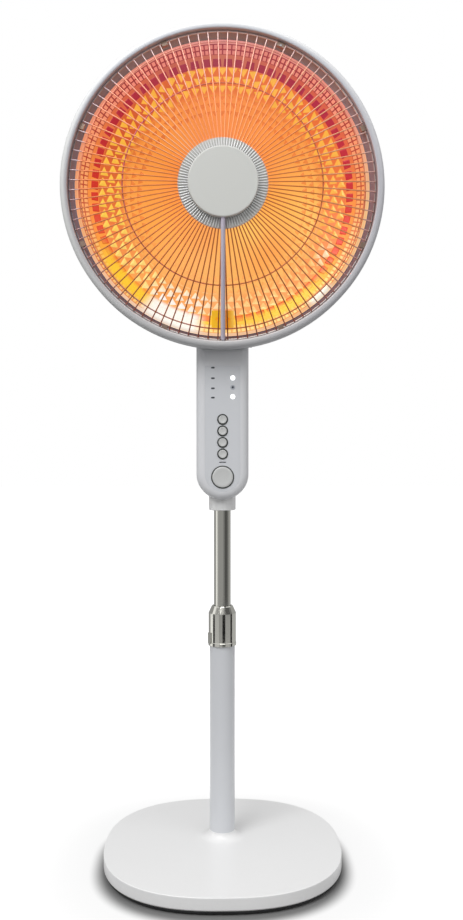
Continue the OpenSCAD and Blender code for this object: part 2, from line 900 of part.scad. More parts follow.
module cord_gland() {
    color("black") backing(inner_back - 2, gland_z) difference() {
        union() {
            cylinder(r = gland_r + 1.5, h = 1.7);
            cylinder(r = gland_r, h = column_wall + 2.3);
            translate([0, 0, column_wall + 2.3]) cylinder(r = gland_r + 1.5, h = 2);
            translate([0, 0, column_wall + 4.3]) cylinder(r1 = gland_r, r2 = 4.6, h = 8);
        }
        translate([0, 0, -eps]) cylinder(r = cord_r, h = column_wall + 16);
    }
}

module tilt_yoke() {
    half = fork_gap / 2 - 0.1;
    color("silver") difference() {
        union() {
            translate([-half, pole_y - 9, fork_z]) cube([2 * half, 18, yoke_t]);
            for (s = [-1, 1]) {
                translate([s > 0 ? half - yoke_t : -half, pole_y - 9, fork_z])
                    cube([yoke_t, 18, tilt_z - fork_z]);
                on_tilt() translate([0, 0, s > 0 ? half - yoke_t : -half])
                    cylinder(r = 9, h = yoke_t);
            }
        }
        on_tilt() bar(tilt_bolt_d / 2 + fit, -column_w, column_w);
        for (y = [-6, 6]) on_pole() translate([0, y, 0]) bar(1.4, fork_z - eps, tilt_z);
    }
}

module friction_washers() {
    ear = fork_gap / 2 - 0.1 - yoke_t;
    color("saddlebrown") on_tilt() for (s = [-1, 1])
        translate([0, 0, s > 0 ? ear - washer_t : -ear]) difference() {
            cylinder(r = 9, h = washer_t);
            translate([0, 0, -eps]) cylinder(r = tilt_bolt_d / 2 + 0.1, h = washer_t + 2 * eps);
        }
}

module tilt_bolt() {
    color("silver") on_tilt() {
        bar(tilt_bolt_d / 2, -col_r + 4.1, col_r + knob_t - 1);
        bar(7, -col_r + 0.3, -col_r + 4.1);
    }
}

module tilt_knob() {
    color("black") on_tilt() difference() {
        translate([0, 0, col_r + gap]) {
            cylinder(r = knob_r, h = knob_t - 1);
            translate([0, 0, knob_t - 1]) cylinder(r1 = knob_r, r2 = knob_r - 1, h = 1);
        }
        bar(tilt_bolt_d / 2 + fit, col_r, col_r + knob_t - 0.9);
        for (a = [0 : 30 : 330]) rotate(a) translate([knob_r + 0.4, 0, 0])
            bar(1.1, col_r, col_r + knob_t + eps);
    }
}

module motor_shaft() {
    color("gray") translate([0, pole_y + shaft_y, 0]) bar(shaft_r, crank_z, motor_z + 7);
}

module crank_arm() {
    color("ivory") translate([0, pole_y + shaft_y, 0]) difference() {
        union() {
            bar(5.4, crank_z, crank_top);
            translate([0, crank_throw, 0]) bar(4, crank_z, crank_top);
            translate([-4, 0, crank_z]) cube([8, crank_throw, crank_t]);
            translate([0, crank_throw, 0]) bar(pin_r, spigot_top + gap, crank_z + eps);
        }
        bar(shaft_r + fit, crank_z - eps, crank_top + eps);
    }
}

// A push button: cap, retaining flange and stem
module push_button(r, flange) {
    backing(front_y - button_proud, 0) {
        cylinder(r1 = r - 0.6, r2 = r, h = 0.6);
        translate([0, 0, 0.6])
            cylinder(r = r, h = button_proud + column_wall + flange_gap - 0.6);
        translate([0, 0, button_proud + column_wall + flange_gap])
            cylinder(r = flange, h = flange_t);
        translate([0, 0, button_proud + column_wall + flange_gap + flange_t])
            cylinder(r = 2, h = board_y - switch_t - inner_front - flange_gap - flange_t - 1.3);
    }
}

module small_button(i) {
    color("gainsboro") translate([0, 0, button_z(i)]) push_button(button_r, button_r + 1.2);
}

module button_power() {
    color("gainsboro") translate([0, 0, col_z - power_drop])
        push_button(power_r, power_r + 1.4);
}

// A bar of round section that follows the guard's dome outwards from r0 to r1
module dome_bar(r0, r1, lift, r) {
    big = dome_r + lift;
    a0 = asin(r0 / big);
    a1 = asin(r1 / big);
    translate([0, 0, dome_top - dome_r]) rotate([90, 0, 0]) rotate([0, 0, 90 - a1])
        rotate_extrude(angle = a1 - a0, $fn = 360) translate([big, 0]) circle(r, $fn = 16);
}

module conduit_shape(r) {
    end = conduit_out;
    top = wire_z(end) + conduit_lift;
    rotate(-90) dome_bar(cap_r - 7, end, conduit_lift, r);
    translate([0, -end, 0]) {
        translate([0, 0, top]) sphere(r, $fn = 32);
        bar(r, -rim_z - 6, top);
    }
}

// The space behind the back shell's outer face, for seating what stands on it
module behind_shell(out) {
    rotate_extrude($fn = 96) polygon(concat([[0, eps]],
        bowl(shell_back + out, 0, dish_r, steps),
        [[skirt_r, -rim_z - 8 - out], [skirt_r, eps]]));
}

module tilt_bracket() {
    color("lightgray") difference() {
        union() {
            translate([-bracket_w / 2, 0, 0]) rotate([90, 0, 90])
                linear_extrude(bracket_w) hull() {
                    translate([pole_y, tilt_z]) circle(lug_r, $fn = 64);
                    translate([pole_y - arm_front, pad_low])
                        square([arm_front + arm_back, arm_lap]);
                }
            translate([-pad_w / 2, pole_y - arm_front, pad_low])
                cube([pad_w, arm_front + pad_back, pad_h]);
        }
        on_head() behind_shell(0.2);
        on_tilt() bar(tilt_bolt_d / 2 + fit, -bracket_w, bracket_w);
        bracket_screw_places() bar(1.5 + fit, -pad_back, dish_depth);
        bracket_screw_places() bar(3.2, -pad_back, -pad_seat);
    }
}

// Screw places on the bracket's pad, with z pointing to the front
module bracket_screw_places() {
    pair(pad_screw_x) facing(pad_screw_y, head_z - pad_r) children();
}

module back_shell() {
    color("gainsboro") on_head() difference() {
        rotate_extrude($fn = 128) polygon(concat(
            bowl(shell_back, 0, dish_r, steps),
            [[skirt_r - gap, -rim_z - 7.5], [skirt_r - gap, -rim_z - dish_t],
                [lip_r + 1.5, -rim_z - dish_t], [lip_r + 1.5, -rim_z - 6.5]],
            [for (i = [steps : -1 : 0]) let (r = dish_r * i / steps)
                [r, dish_z(r) - shell_back + shell_wall]]));
        for (i = [0 : vent_count - 1]) let (a = (i + 0.5) * 360 / vent_count)
            if (abs(a - 270) > vent_clear) rotate(a) vent_slot();
        conduit_shape(conduit_r + gap);
        shell_screw_places() {
            bar(1.8, cut_back, 0);
            bar(3.3, cut_back, -rim_z - shell_seat);
        }
        on_bracket_holes() bar(1.5 + fit, cut_back, 0);
    }
}

// One cooling slot with round ends
module vent_slot() {
    top = -rim_z - shell_back;
    for (r = [vent_in, vent_out]) translate([r, 0, 0]) bar(vent_r, cut_back, top);
    translate([vent_in, -vent_r, cut_back]) cube([vent_out - vent_in, 2 * vent_r, top - cut_back]);
}

// The same places in the head's own frame
module on_bracket_holes() {
    pair(pad_screw_x) translate([0, -pad_r, 0]) children();
}

module shell_screw_places() {
    for (a = [0 : 60 : 300]) rotate(a) translate([(mouth_r + skirt_r) / 2 - 0.6, 0, 0])
        children();
}

module reflector() {
    color("darkorange") on_head() difference() {
        rotate_extrude($fn = 128) polygon(concat(
            bowl(0, 0, dish_r, steps),
            [[flange_r, -rim_z], [flange_r, -rim_z - dish_t], [dish_r + 1, -rim_z - dish_t]],
            [for (i = [steps : -1 : 0]) let (r = dish_r * i / steps)
                [r, dish_z(r) - dish_t]]));
        conduit_shape(conduit_r + gap);
    }
}

module front_ring_profile() {
    soft = 6;
    polygon(concat([[ring_r, -ring_depth]],
        arc(ring_r - soft, -soft, soft, 0, 90),
        arc(mouth_r + 1.8, -1.8, 1.8, 90, 180, 3),
        [[mouth_r, -throat_z], [lip_r + 1, -rim_z + 1.7], [lip_r, -rim_z + 1.7],
            [lip_r, -rim_z], [lip_r + 5.5, -rim_z], [lip_r + 5.5, -rim_z + 3.2],
            [mouth_r + 1.8, -throat_z - 0.7], [mouth_r + 1.8, -3.5],
            [skirt_r - 3, -2.4], [skirt_r, -6.5], [skirt_r, -ring_depth]]));
}

module front_ring() {
    color("gainsboro") on_head() difference() {
        union() {
            rotate_extrude($fn = 180) front_ring_profile();
            shell_screw_places() bar(2.4, -rim_z, -4);
        }
        conduit_shape(conduit_r + gap);
        shell_screw_places() bar(1.3 + fit, -rim_z - eps, -rim_z + 10);
    }
}

module guard_wires() {
    color("white") on_head() for (i = [0 : wire_count - 1])
        rotate((i + 0.5) * 360 / wire_count) dome_bar(wire_end, rim_hoop_r, 0, wire_r);
}

module hoop(r, d, open) {
    rotate(-90 + open / 2) rotate_extrude(angle = 360 - open, $fn = 180)
        translate([r, hoop_z(r, d)]) circle(d / 2, $fn = 16);
}

module guard_hoops() {
    color("lightgray") on_head() {
        hoop(rim_hoop_r, rim_hoop_d, 2.4);
        hoop(hoop_outer_r, hoop_d, 0);
        hoop(hoop_inner_r, hoop_d, 0);
    }
}

// One clip: a small block round the rim hoop
module guard_clip(size) {
    z = hoop_z(rim_hoop_r, rim_hoop_d);
    rotate(-size / 2) rotate_extrude(angle = size, $fn = 360) difference() {
        translate([rim_hoop_r - 4.6, z - 3]) square([mouth_r - 0.2 - rim_hoop_r + 4.6, 5]);
        translate([rim_hoop_r, z]) circle(rim_hoop_d / 2 + fit, $fn = 24);
    }
}

module guard_clips() {
    color("silver") on_head() for (i = [0 : clip_count - 1]) rotate(clip_angle(i))
        if (i == lock_clip) difference() {
            guard_clip(2.9);
            lock_screw_place() bar(1 + fit, -6, 2);
        }
        else guard_clip(2.1);
}

module lock_screw_place() {
    translate([rim_hoop_r - 3, 0, hoop_z(rim_hoop_r, rim_hoop_d) + 2]) children();
}

module head_screws() {
    color("gray") {
        on_head() rotate(clip_angle(lock_clip)) lock_screw_place() screw(1, 4, 1.4, 0.8);
        bracket_screw_places() translate([0, 0, -pad_seat]) rotate([180, 0, 0])
            screw(1.5, pad_screw_len, 3, 2);
        on_head() translate([0, 0, disc_z - disc_t]) rotate([180, 0, 0])
            screw(1.5, 6, 3, 1.6);
    }
}

module shell_screws() {
    color("gray") on_head() shell_screw_places()
        translate([0, 0, -rim_z - shell_seat]) rotate([180, 0, 0])
            screw(1.3, shell_screw_len, 3, 2);
}

module hub_disc() {
    color("gainsboro") on_head() difference() {
        bar(disc_r, disc_z - disc_t, disc_z);
        bar(1.5 + fit, disc_z - disc_t - eps, disc_z + eps);
        pair(6) translate([0, 5 - element_r, 0])
            bar(lead_r + fit, disc_z - disc_t - eps, disc_z + eps);
    }
}

module hub_cap() {
    top = cap_z + cap_h;
    color("silver") on_head() difference() {
        union() {
            rotate_extrude($fn = 128) polygon([[cap_r, cap_z], [cap_r, top - 1.4],
                [cap_r - 0.4, top - 0.4], [cap_r - 1.4, top], [0, top],
                [0, top - cap_wall], [cap_r - 8, top - cap_wall - 0.3],
                [cap_r - cap_wall - 3.6, top - cap_wall - 1],
                [cap_r - cap_wall, cap_z + 2.2], [cap_r - cap_wall, cap_z]]);
            bar(6, disc_z, top - 1);
        }
        bar(1.5 + fit, disc_z - eps, disc_z + 6);
        conduit_shape(conduit_r + 0.1);
    }
}

module conduit() {
    color("silver") on_head() difference() {
        conduit_shape(conduit_r);
        rotate(-90) dome_bar(cap_r - 9, conduit_out, conduit_lift, conduit_r - 1);
        translate([0, -conduit_out, 0])
            bar(conduit_r - 1, -rim_z - 8, wire_z(conduit_out) + conduit_lift);
    }
}

module element_leads() {
    color("saddlebrown") on_head() for (s = [-1, 1]) {
        translate([s * 0.8, 0, 0]) rotate(-90)
            dome_bar(cap_r - 6, conduit_out - 3, conduit_lift, lead_r);
        translate([s * 6, 5 - element_r, 0]) bar(lead_r, shield_z + gap, cap_z + 3);
    }
}

module heat_shield() {
    color("silver") on_head() {
        difference() {
            bar(disc_r - 2, shield_z - shield_t, shield_z);
            bar(4, shield_z - 3, shield_z + eps);
        }
        for (a = [90, 210, 330]) rotate(a) translate([disc_r - 8, 0, 0])
            bar(2.5, shield_z - shield_t / 2, disc_z - disc_t);
    }
}

// An arc of the heating ring, open at its bottom
module ring_arc(outer, inner, open) {
    rotate(-90 + open / 2) rotate_extrude(angle = 360 - open, $fn = 128)
        translate([element_r, element_z]) difference() {
            circle(outer, $fn = 32);
            if (inner > 0) circle(inner, $fn = 32);
        }
}

module element_tube() {
    color("mistyrose") on_head() ring_arc(quartz_r, quartz_r - quartz_wall, element_gap);
}

module carbon_filament() {
    color("orangered") on_head() ring_arc(filament_r, 0, element_gap + 1);
}

module element_caps() {
    color("ivory") on_head() for (s = [-1, 1])
        rotate(-90 + s * element_gap / 2) translate([element_r, 0, element_z])
            rotate([s * 90, 0, 0]) cylinder(r = cap_ring, h = cap_len);
}

module element_clips() {
    color("silver") on_head() for (a = [30, 90, 150]) rotate(a)
        translate([element_r, 0, element_z]) {
            rotate([90, 0, 0]) translate([0, 0, -2.5]) difference() {
                cylinder(r = quartz_r + 1.2, h = 5);
                translate([0, 0, -eps]) cylinder(r = quartz_r + 0.2, h = 5 + 2 * eps);
            }
            translate([-1.5, -2.5, quartz_r + 0.9])
                cube([3, 5, shield_z - shield_t - element_z - quartz_r - 0.9]);
        }
}

module terminal_block() {
    face = -rim_z - block_sink;
    color("darkgoldenrod") on_head() difference() {
        translate([-block_w / 2, -block_r - block_h / 2, -rim_z - dish_depth])
            cube([block_w, block_h, dish_depth - block_sink]);
        rotate_extrude($fn = 96) polygon(concat([[0, -rim_z - dish_depth - 10]],
            bowl(-0.2, 0, dish_r, steps), [[dish_r, -rim_z - dish_depth - 10]]));
        pair(block_w / 4) translate([0, -block_r, 0]) bar(2.2, face - 3, face + eps);
    }
}

base_shell();
base_weight();
base_plate();
base_feet();
base_screws();
pole_bolt();
pole_plug();
outer_pole();
collet();
lock_collar();
inner_tube();
tube_guide();
neck();
neck_screw();
swing_plate();
swing_screw();
housing_front();
housing_rear();
control_panel();
lamp_lenses();
circuit_board();
tact_switches();
swivel_bearing();
swing_motor();
inner_screws();
tip_over_switch();
housing_screws();
cord_gland();
tilt_yoke();
friction_washers();
tilt_bolt();
motor_shaft();
crank_arm();
small_button(3);  // button_1
small_button(2);  // button_2
small_button(1);  // button_3
small_button(0);  // button_4
button_power();
tilt_knob();
tilt_bracket();
back_shell();
reflector();
front_ring();
guard_wires();
guard_hoops();
guard_clips();
head_screws();
hub_disc();
hub_cap();
conduit();
element_leads();
heat_shield();
element_tube();
carbon_filament();
element_caps();
element_clips();
terminal_block();
shell_screws();
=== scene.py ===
import json
import math

import bmesh
import bpy
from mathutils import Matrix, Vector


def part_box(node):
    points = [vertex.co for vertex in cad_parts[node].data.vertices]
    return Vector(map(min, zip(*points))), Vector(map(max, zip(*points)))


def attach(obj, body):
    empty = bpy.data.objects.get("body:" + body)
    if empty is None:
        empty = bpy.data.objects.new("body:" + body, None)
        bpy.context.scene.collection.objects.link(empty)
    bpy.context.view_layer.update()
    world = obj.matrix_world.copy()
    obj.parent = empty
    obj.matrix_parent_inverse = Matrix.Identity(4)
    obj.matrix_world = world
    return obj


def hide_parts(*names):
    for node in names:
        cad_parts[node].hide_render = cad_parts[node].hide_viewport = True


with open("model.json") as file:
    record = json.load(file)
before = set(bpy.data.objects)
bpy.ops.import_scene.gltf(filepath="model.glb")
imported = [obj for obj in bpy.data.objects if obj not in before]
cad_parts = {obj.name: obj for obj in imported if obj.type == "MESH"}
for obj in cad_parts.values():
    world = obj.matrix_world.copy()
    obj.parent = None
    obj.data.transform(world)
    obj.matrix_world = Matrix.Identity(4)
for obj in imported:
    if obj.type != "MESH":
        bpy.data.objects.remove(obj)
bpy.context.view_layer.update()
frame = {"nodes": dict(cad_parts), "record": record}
scene = bpy.context.scene
scene.view_settings.view_transform = "Standard"
MM = 0.001

# Camera: in front of the pole and a little to its left, at half the heater's height
CAMERA_AT = (-0.0168, -1.2501, 0.5524)
CAMERA_TURN = -1.30
CAMERA_PITCH = -1.49
LENS = 37.97
SENSOR = 36

camera_data = bpy.data.cameras.new("camera")
camera_data.lens = LENS
camera_data.sensor_width = SENSOR
camera = bpy.data.objects.new("camera", camera_data)
camera.location = CAMERA_AT
camera.rotation_euler = (math.radians(90 + CAMERA_PITCH), 0, math.radians(CAMERA_TURN))
scene.collection.objects.link(camera)
scene.camera = camera

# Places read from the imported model. MOUTH, in mm, is a little more than the guard's outer radius.
ring_low, ring_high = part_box("front_ring")
HEAD_Z = (ring_low.z + ring_high.z) / 2
hoops_low, hoops_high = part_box("guard_hoops")
MOUTH = (hoops_high.x - hoops_low.x) / 2 / MM + 0.4
reflector_low, reflector_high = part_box("reflector")
RIM_Y = reflector_low.y
panel_low, panel_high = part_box("control_panel")
PANEL_FRONT = panel_low.y
lamp_low, lamp_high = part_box("lamp_lenses")

# The reflector: a bowl with embossed rows. The radii of the rows are in mm.
FLANGE_R = (reflector_high.x - reflector_low.x) / 2
DISH_R = FLANGE_R - 6 * MM
SHEET = 1 * MM
DISH_RINGS, DISH_STEPS = 31, 180
DISH_DEPTH = reflector_high.y - RIM_Y - SHEET
ROW_COLUMNS = 72
SQUARE_COLUMNS = 192
FAINT_ROWS = ((103, 111), (112, 120), (121, 129))
BRIGHT_ROWS = ((130, 138.5), (139, 148), (148.5, 157.5))
BAND = (158, 170)
SQUARE_ROWS = ((170.8, 175.2), (176.2, 180.6))
BEAD = 181.4
# How far the facets stand out of the sheet, and how deep their edges lie in it
FAINT_LIFT, BRIGHT_LIFT, BLOCK_LIFT, SQUARE_LIFT, SINK = 0.5 * MM, 1.0 * MM, 0.5 * MM, 0.4 * MM, 0.12 * MM
# Cosine of the turn from the top up to which the bright facets point down
POINTS_DOWN = 0.88


def linear(red, green, blue):
    """A colour given in 0 to 255 steps of the screen, as the shader wants it."""
    def one(value):
        value /= 255
        return value / 12.92 if value <= 0.04045 else ((value + 0.055) / 1.055) ** 2.4
    return (one(red), one(green), one(blue), 1)


# Mesh makers

def piece(name, points, faces, body, materials, smooth=True, face_materials=None):
    mesh = bpy.data.meshes.new(name)
    mesh.from_pydata(points, [], faces)
    mesh.update()
    for material in materials:
        mesh.materials.append(material)
    mesh.polygons.foreach_set("use_smooth", [smooth] * len(mesh.polygons))
    if face_materials:
        mesh.polygons.foreach_set("material_index", face_materials)
    thing = bpy.data.objects.new(name, mesh)
    scene.collection.objects.link(thing)
    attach(thing, body)
    return thing


def sharpen(thing, angle):
    """Keeps edges steeper than the angle crisp on a smooth shaded piece."""
    mesh = thing.data
    sharp = mesh.attributes.get("sharp_edge") or mesh.attributes.new("sharp_edge", "BOOLEAN", "EDGE")
    sides = {}
    for face in mesh.polygons:
        for key in face.edge_keys:
            sides.setdefault(key, []).append(face.normal)
    for edge in mesh.edges:
        pair = sides.get(edge.key, [])
        if len(pair) == 2 and pair[0].angle(pair[1], 0) > math.radians(angle):
            sharp.data[edge.index].value = True


def turned(profile, steps, start=0.0, end=360.0):
    """Points and faces of a profile turned about an axis that points to the front.
    The profile is a closed list of (radius, distance behind the front)."""
    whole = end - start >= 360
    columns = steps if whole else steps + 1
    count = len(profile)
    points = []
    for i in range(columns):
        a = math.radians(start + (end - start) * i / steps)
        points += [(r * math.sin(a), d, r * math.cos(a)) for r, d in profile]
    faces = []
    for i in range(steps):
        here, there = i * count, (i + 1) % columns * count
        for j in range(count):
            k = (j + 1) % count
            corners = [here + j, here + k, there + k, there + j]
            if profile[j][0] == 0 and profile[k][0] == 0:
                continue
            if profile[j][0] == 0:
                corners = [here + j, here + k, there + k]
            elif profile[k][0] == 0:
                corners = [here + j, here + k, there + j]
            faces.append(corners)
    if not whole:
        faces.append(list(range(count)))
        faces.append(list(reversed(range(steps * count, (steps + 1) * count))))
    return points, faces


def weld(thing):
    """Joins the points that share a place, such as those on an axis, and points all faces outwards."""
    mesh = bmesh.new()
    mesh.from_mesh(thing.data)
    bmesh.ops.remove_doubles(mesh, verts=mesh.verts, dist=0.00001)
    bmesh.ops.recalc_face_normals(mesh, faces=mesh.faces)
    mesh.to_mesh(thing.data)
    mesh.free()


def placed(points, x, y, z):
    return [(px + x, py + y, pz + z) for px, py, pz in points]


# Node helpers

def add(tree, kind, x=0, y=0, **settings):
    node = tree.nodes.new(kind)
    node.location = (x, y)
    for key, value in settings.items():
        setattr(node, key, value)
    return node


def math_node(tree, operation, first, second=None, clamp=False):
    node = add(tree, "ShaderNodeMath", operation=operation, use_clamp=clamp)
    for socket, value in zip(node.inputs, (first, second)):
        if value is None:
            continue
        if isinstance(value, (int, float)):
            socket.default_value = value
        else:
            tree.links.new(value, socket)
    return node.outputs[0]


def map_range(tree, value, low, high, to_low=0.0, to_high=1.0, smooth=True):
    node = add(tree, "ShaderNodeMapRange", interpolation_type="SMOOTHSTEP" if smooth else "LINEAR")
    tree.links.new(value, node.inputs["Value"])
    for name, number in (("From Min", low), ("From Max", high), ("To Min", to_low), ("To Max", to_high)):
        if isinstance(number, (int, float)):
            node.inputs[name].default_value = number
        else:
            tree.links.new(number, node.inputs[name])
    return node.outputs["Result"]


def mix_colour(tree, factor, first, second, blend="MIX"):
    node = add(tree, "ShaderNodeMix", data_type="RGBA", blend_type=blend)
    for socket, value in ((node.inputs[0], factor), (node.inputs[6], first), (node.inputs[7], second)):
        if isinstance(value, (int, float, tuple)):
            socket.default_value = value
        else:
            tree.links.new(value, socket)
    return node.outputs[2]


def ramp(tree, factor, stops):
    """A colour that changes along the factor; each stop is (place, colour)."""
    node = add(tree, "ShaderNodeValToRGB")
    while len(node.color_ramp.elements) < len(stops):
        node.color_ramp.elements.new(0.5)
    for element, (place, colour) in zip(node.color_ramp.elements, stops):
        element.position = place
        element.color = colour
    tree.links.new(factor, node.inputs[0])
    return node.outputs[0]


def new_group(name, inputs, outputs):
    group = bpy.data.node_groups.new(name, "ShaderNodeTree")
    for label, kind, value in inputs:
        socket = group.interface.new_socket(label, in_out="INPUT", socket_type=kind)
        if value is not None:
            socket.default_value = value
    for label, kind in outputs:
        group.interface.new_socket(label, in_out="OUTPUT", socket_type=kind)
    return group, add(group, "NodeGroupInput", -800), add(group, "NodeGroupOutput", 800)


def use_group(tree, group, **values):
    node = add(tree, "ShaderNodeGroup", node_tree=group)
    for label, value in values.items():
        socket = node.inputs[label.replace("_", " ")]
        if isinstance(value, (int, float, tuple)):
            socket.default_value = value
        else:
            tree.links.new(value, socket)
    return node


def object_parts(tree):
    """The X, Y and Z of a point on the model."""
    place = add(tree, "ShaderNodeTexCoord", -800)
    parts = add(tree, "ShaderNodeSeparateXYZ", -600)
    tree.links.new(place.outputs["Object"], parts.inputs[0])
    return parts.outputs


def distance(tree, first, second):
    """The diagonal over two lengths at right angles."""
    squares = [math_node(tree, "MULTIPLY", side, side) for side in (first, second)]
    return math_node(tree, "SQRT", math_node(tree, "ADD", *squares))


def at_radius(tree, radius, low, high, inside, outside):
    """One colour inside a radius and another outside it, blended from low to high."""
    return mix_colour(tree, map_range(tree, radius, low, high), inside, outside)


# Shared effects

SURFACE_OUTPUTS = [("Colour", "NodeSocketColor"), ("Roughness", "NodeSocketFloat"),
    ("Height", "NodeSocketFloat")]


def end_surface(group, entry, leave, slow, fine):
    """Ends an effect: the slow noise changes the colour, the fine one the roughness and height."""
    link = group.links.new
    tone = math_node(group, "MULTIPLY", math_node(group, "SUBTRACT", slow, 0.5), entry.outputs["Tone Change"])
    shade = add(group, "ShaderNodeVectorMath", operation="SCALE")
    link(entry.outputs["Colour"], shade.inputs[0])
    link(math_node(group, "ADD", tone, 1.0), shade.inputs["Scale"])
    link(shade.outputs[0], leave.inputs["Colour"])
    rough = math_node(group, "MULTIPLY", math_node(group, "SUBTRACT", fine, 0.5),
        entry.outputs["Roughness Change"])
    link(math_node(group, "ADD", entry.outputs["Roughness"], rough, clamp=True), leave.inputs["Roughness"])
    link(fine, leave.inputs["Height"])


def moulded_surface():
    """Fine grain and a slow change of tone, as on moulded plastic and enamel."""
    group, entry, leave = new_group("moulded_surface",
        [("Grain Scale", "NodeSocketFloat", 900.0), ("Tone Scale", "NodeSocketFloat", 9.0),
            ("Roughness", "NodeSocketFloat", 0.4), ("Roughness Change", "NodeSocketFloat", 0.08),
            ("Colour", "NodeSocketColor", (0.8, 0.8, 0.8, 1)), ("Tone Change", "NodeSocketFloat", 0.05)],
        SURFACE_OUTPUTS)
    place = add(group, "ShaderNodeTexCoord", -800, -300)
    noises = []
    for scale, detail in (("Tone Scale", 4), ("Grain Scale", 3)):
        noise = add(group, "ShaderNodeTexNoise", -500)
        noise.inputs["Detail"].default_value = detail
        group.links.new(place.outputs["Object"], noise.inputs["Vector"])
        group.links.new(entry.outputs[scale], noise.inputs["Scale"])
        noises.append(noise.outputs["Fac"])
    end_surface(group, entry, leave, *noises)
    return group


def drawn_metal():
    """Fine lines along one axis, as on drawn tube, plated wire and turned parts."""
    group, entry, leave = new_group("drawn_metal",
        [("Stretch", "NodeSocketVector", (60.0, 60.0, 2.0)), ("Roughness", "NodeSocketFloat", 0.2),
            ("Roughness Change", "NodeSocketFloat", 0.1), ("Colour", "NodeSocketColor", (0.7, 0.7, 0.7, 1)),
            ("Tone Change", "NodeSocketFloat", 0.1)],
        SURFACE_OUTPUTS)
    place = add(group, "ShaderNodeTexCoord", -800, -300)
    scaled = add(group, "ShaderNodeVectorMath", operation="MULTIPLY")
    lines = add(group, "ShaderNodeTexNoise", -300, 0)
    lines.inputs["Scale"].default_value = 14
    lines.inputs["Detail"].default_value = 5
    group.links.new(place.outputs["Object"], scaled.inputs[0])
    group.links.new(entry.outputs["Stretch"], scaled.inputs[1])
    group.links.new(scaled.outputs[0], lines.inputs["Vector"])
    end_surface(group, entry, leave, lines.outputs["Fac"], lines.outputs["Fac"])
    return group


def place_on_head():
    """Where a point of the head lies: its turn, clockwise from the top, from 0 to 1, and its radius in mm."""
    group, _, leave = new_group("place_on_head", [],
        [("Turn", "NodeSocketFloat"), ("Radius", "NodeSocketFloat")])
    parts = object_parts(group)
    up = math_node(group, "SUBTRACT", parts["Z"], HEAD_Z)
    turn = math_node(group, "DIVIDE", math_node(group, "ARCTAN2", parts["X"], up), 2 * math.pi)
    group.links.new(math_node(group, "FRACT", math_node(group, "ADD", turn, 1.0)), leave.inputs["Turn"])
    radius = math_node(group, "MULTIPLY", distance(group, parts["X"], up), 1 / MM)
    group.links.new(radius, leave.inputs["Radius"])
    return group


def painted_highlight_mask():
    """A soft-edged mask for one painted highlight of the reflector."""
    group, entry, leave = new_group("painted_highlight_mask",
        [("Turn", "NodeSocketFloat", 0.0), ("Radius", "NodeSocketFloat", 0.0),
            ("Middle Turn", "NodeSocketFloat", 0.5), ("Half Turn", "NodeSocketFloat", 0.03),
            ("Middle Radius", "NodeSocketFloat", 168.0), ("Half Radius", "NodeSocketFloat", 14.0),
            ("Softness", "NodeSocketFloat", 0.5)],
        [("Mask", "NodeSocketFloat")])
    masks = []
    for kind in ("Turn", "Radius"):
        away = math_node(group, "ABSOLUTE",
            math_node(group, "SUBTRACT", entry.outputs[kind], entry.outputs["Middle " + kind]))
        share = math_node(group, "DIVIDE", away, entry.outputs["Half " + kind])
        solid = math_node(group, "SUBTRACT", 1.0, entry.outputs["Softness"])
        outside = math_node(group, "ADD", 1.0, entry.outputs["Softness"])
        masks.append(map_range(group, share, solid, outside, 1.0, 0.0))
    group.links.new(math_node(group, "MULTIPLY", *masks), leave.inputs["Mask"])
    return group


MOULDED = moulded_surface()
DRAWN = drawn_metal()
PLACE = place_on_head()
HIGHLIGHT_MASK = painted_highlight_mask()


# Finishes

def start_material(name):
    material = bpy.data.materials.new(name)
    material.use_nodes = True
    tree = material.node_tree
    tree.nodes.clear()
    shader = add(tree, "ShaderNodeBsdfPrincipled", 400)
    result = add(tree, "ShaderNodeOutputMaterial", 700)
    tree.links.new(shader.outputs[0], result.inputs[0])
    return material, tree, shader


def dress(tree, shader, surface, depth, glow=0.0):
    """Gives the shader an effect's colour, roughness and relief, and its glow, if any."""
    tree.links.new(surface.outputs["Colour"], shader.inputs["Base Color"])
    tree.links.new(surface.outputs["Roughness"], shader.inputs["Roughness"])
    if glow:
        tree.links.new(surface.outputs["Colour"], shader.inputs["Emission Color"])
        shader.inputs["Emission Strength"].default_value = glow
    bump = add(tree, "ShaderNodeBump", 200, -200)
    bump.inputs["Distance"].default_value = depth
    tree.links.new(surface.outputs["Height"], bump.inputs["Height"])
    tree.links.new(bump.outputs[0], shader.inputs["Normal"])


def moulded(name, colour, roughness, grain=900.0, tone=0.04, depth=0.02 * MM, coat=0.0, tint=None, glow=0.0):
    """Plastic, enamel, rubber or ceramic. The tint, if any, makes the colour change over the piece."""
    material, tree, shader = start_material(name)
    surface = use_group(tree, MOULDED, Grain_Scale=grain, Roughness=roughness,
        Colour=colour if tint is None else tint(tree), Tone_Change=tone)
    shader.inputs["Coat Weight"].default_value = coat
    dress(tree, shader, surface, depth, glow)
    return material


def drawn(name, colour, roughness, stretch=(60.0, 60.0, 2.0), tone=0.1, change=0.1, depth=0.01 * MM,
        metallic=1.0, tint=None):
    """Bare or plated metal with fine lines."""
    material, tree, shader = start_material(name)
    surface = use_group(tree, DRAWN, Stretch=stretch, Roughness=roughness, Roughness_Change=change,
        Colour=colour if tint is None else tint(tree), Tone_Change=tone)
    shader.inputs["Metallic"].default_value = metallic
    dress(tree, shader, surface, depth)
    return material


def around(tree, turn, stops):
    """A colour that changes with the turn and comes back to the first one after 360 degrees.
    Each stop is (degrees clockwise from the top, colour)."""
    closed = [*stops, (360, stops[0][1])]
    return ramp(tree, turn, [(angle / 360, linear(*colour)) for angle, colour in closed])


def on_head(tree):
    """Turn and radius of a point on the head."""
    place = use_group(tree, PLACE)
    return place.outputs["Turn"], place.outputs["Radius"]


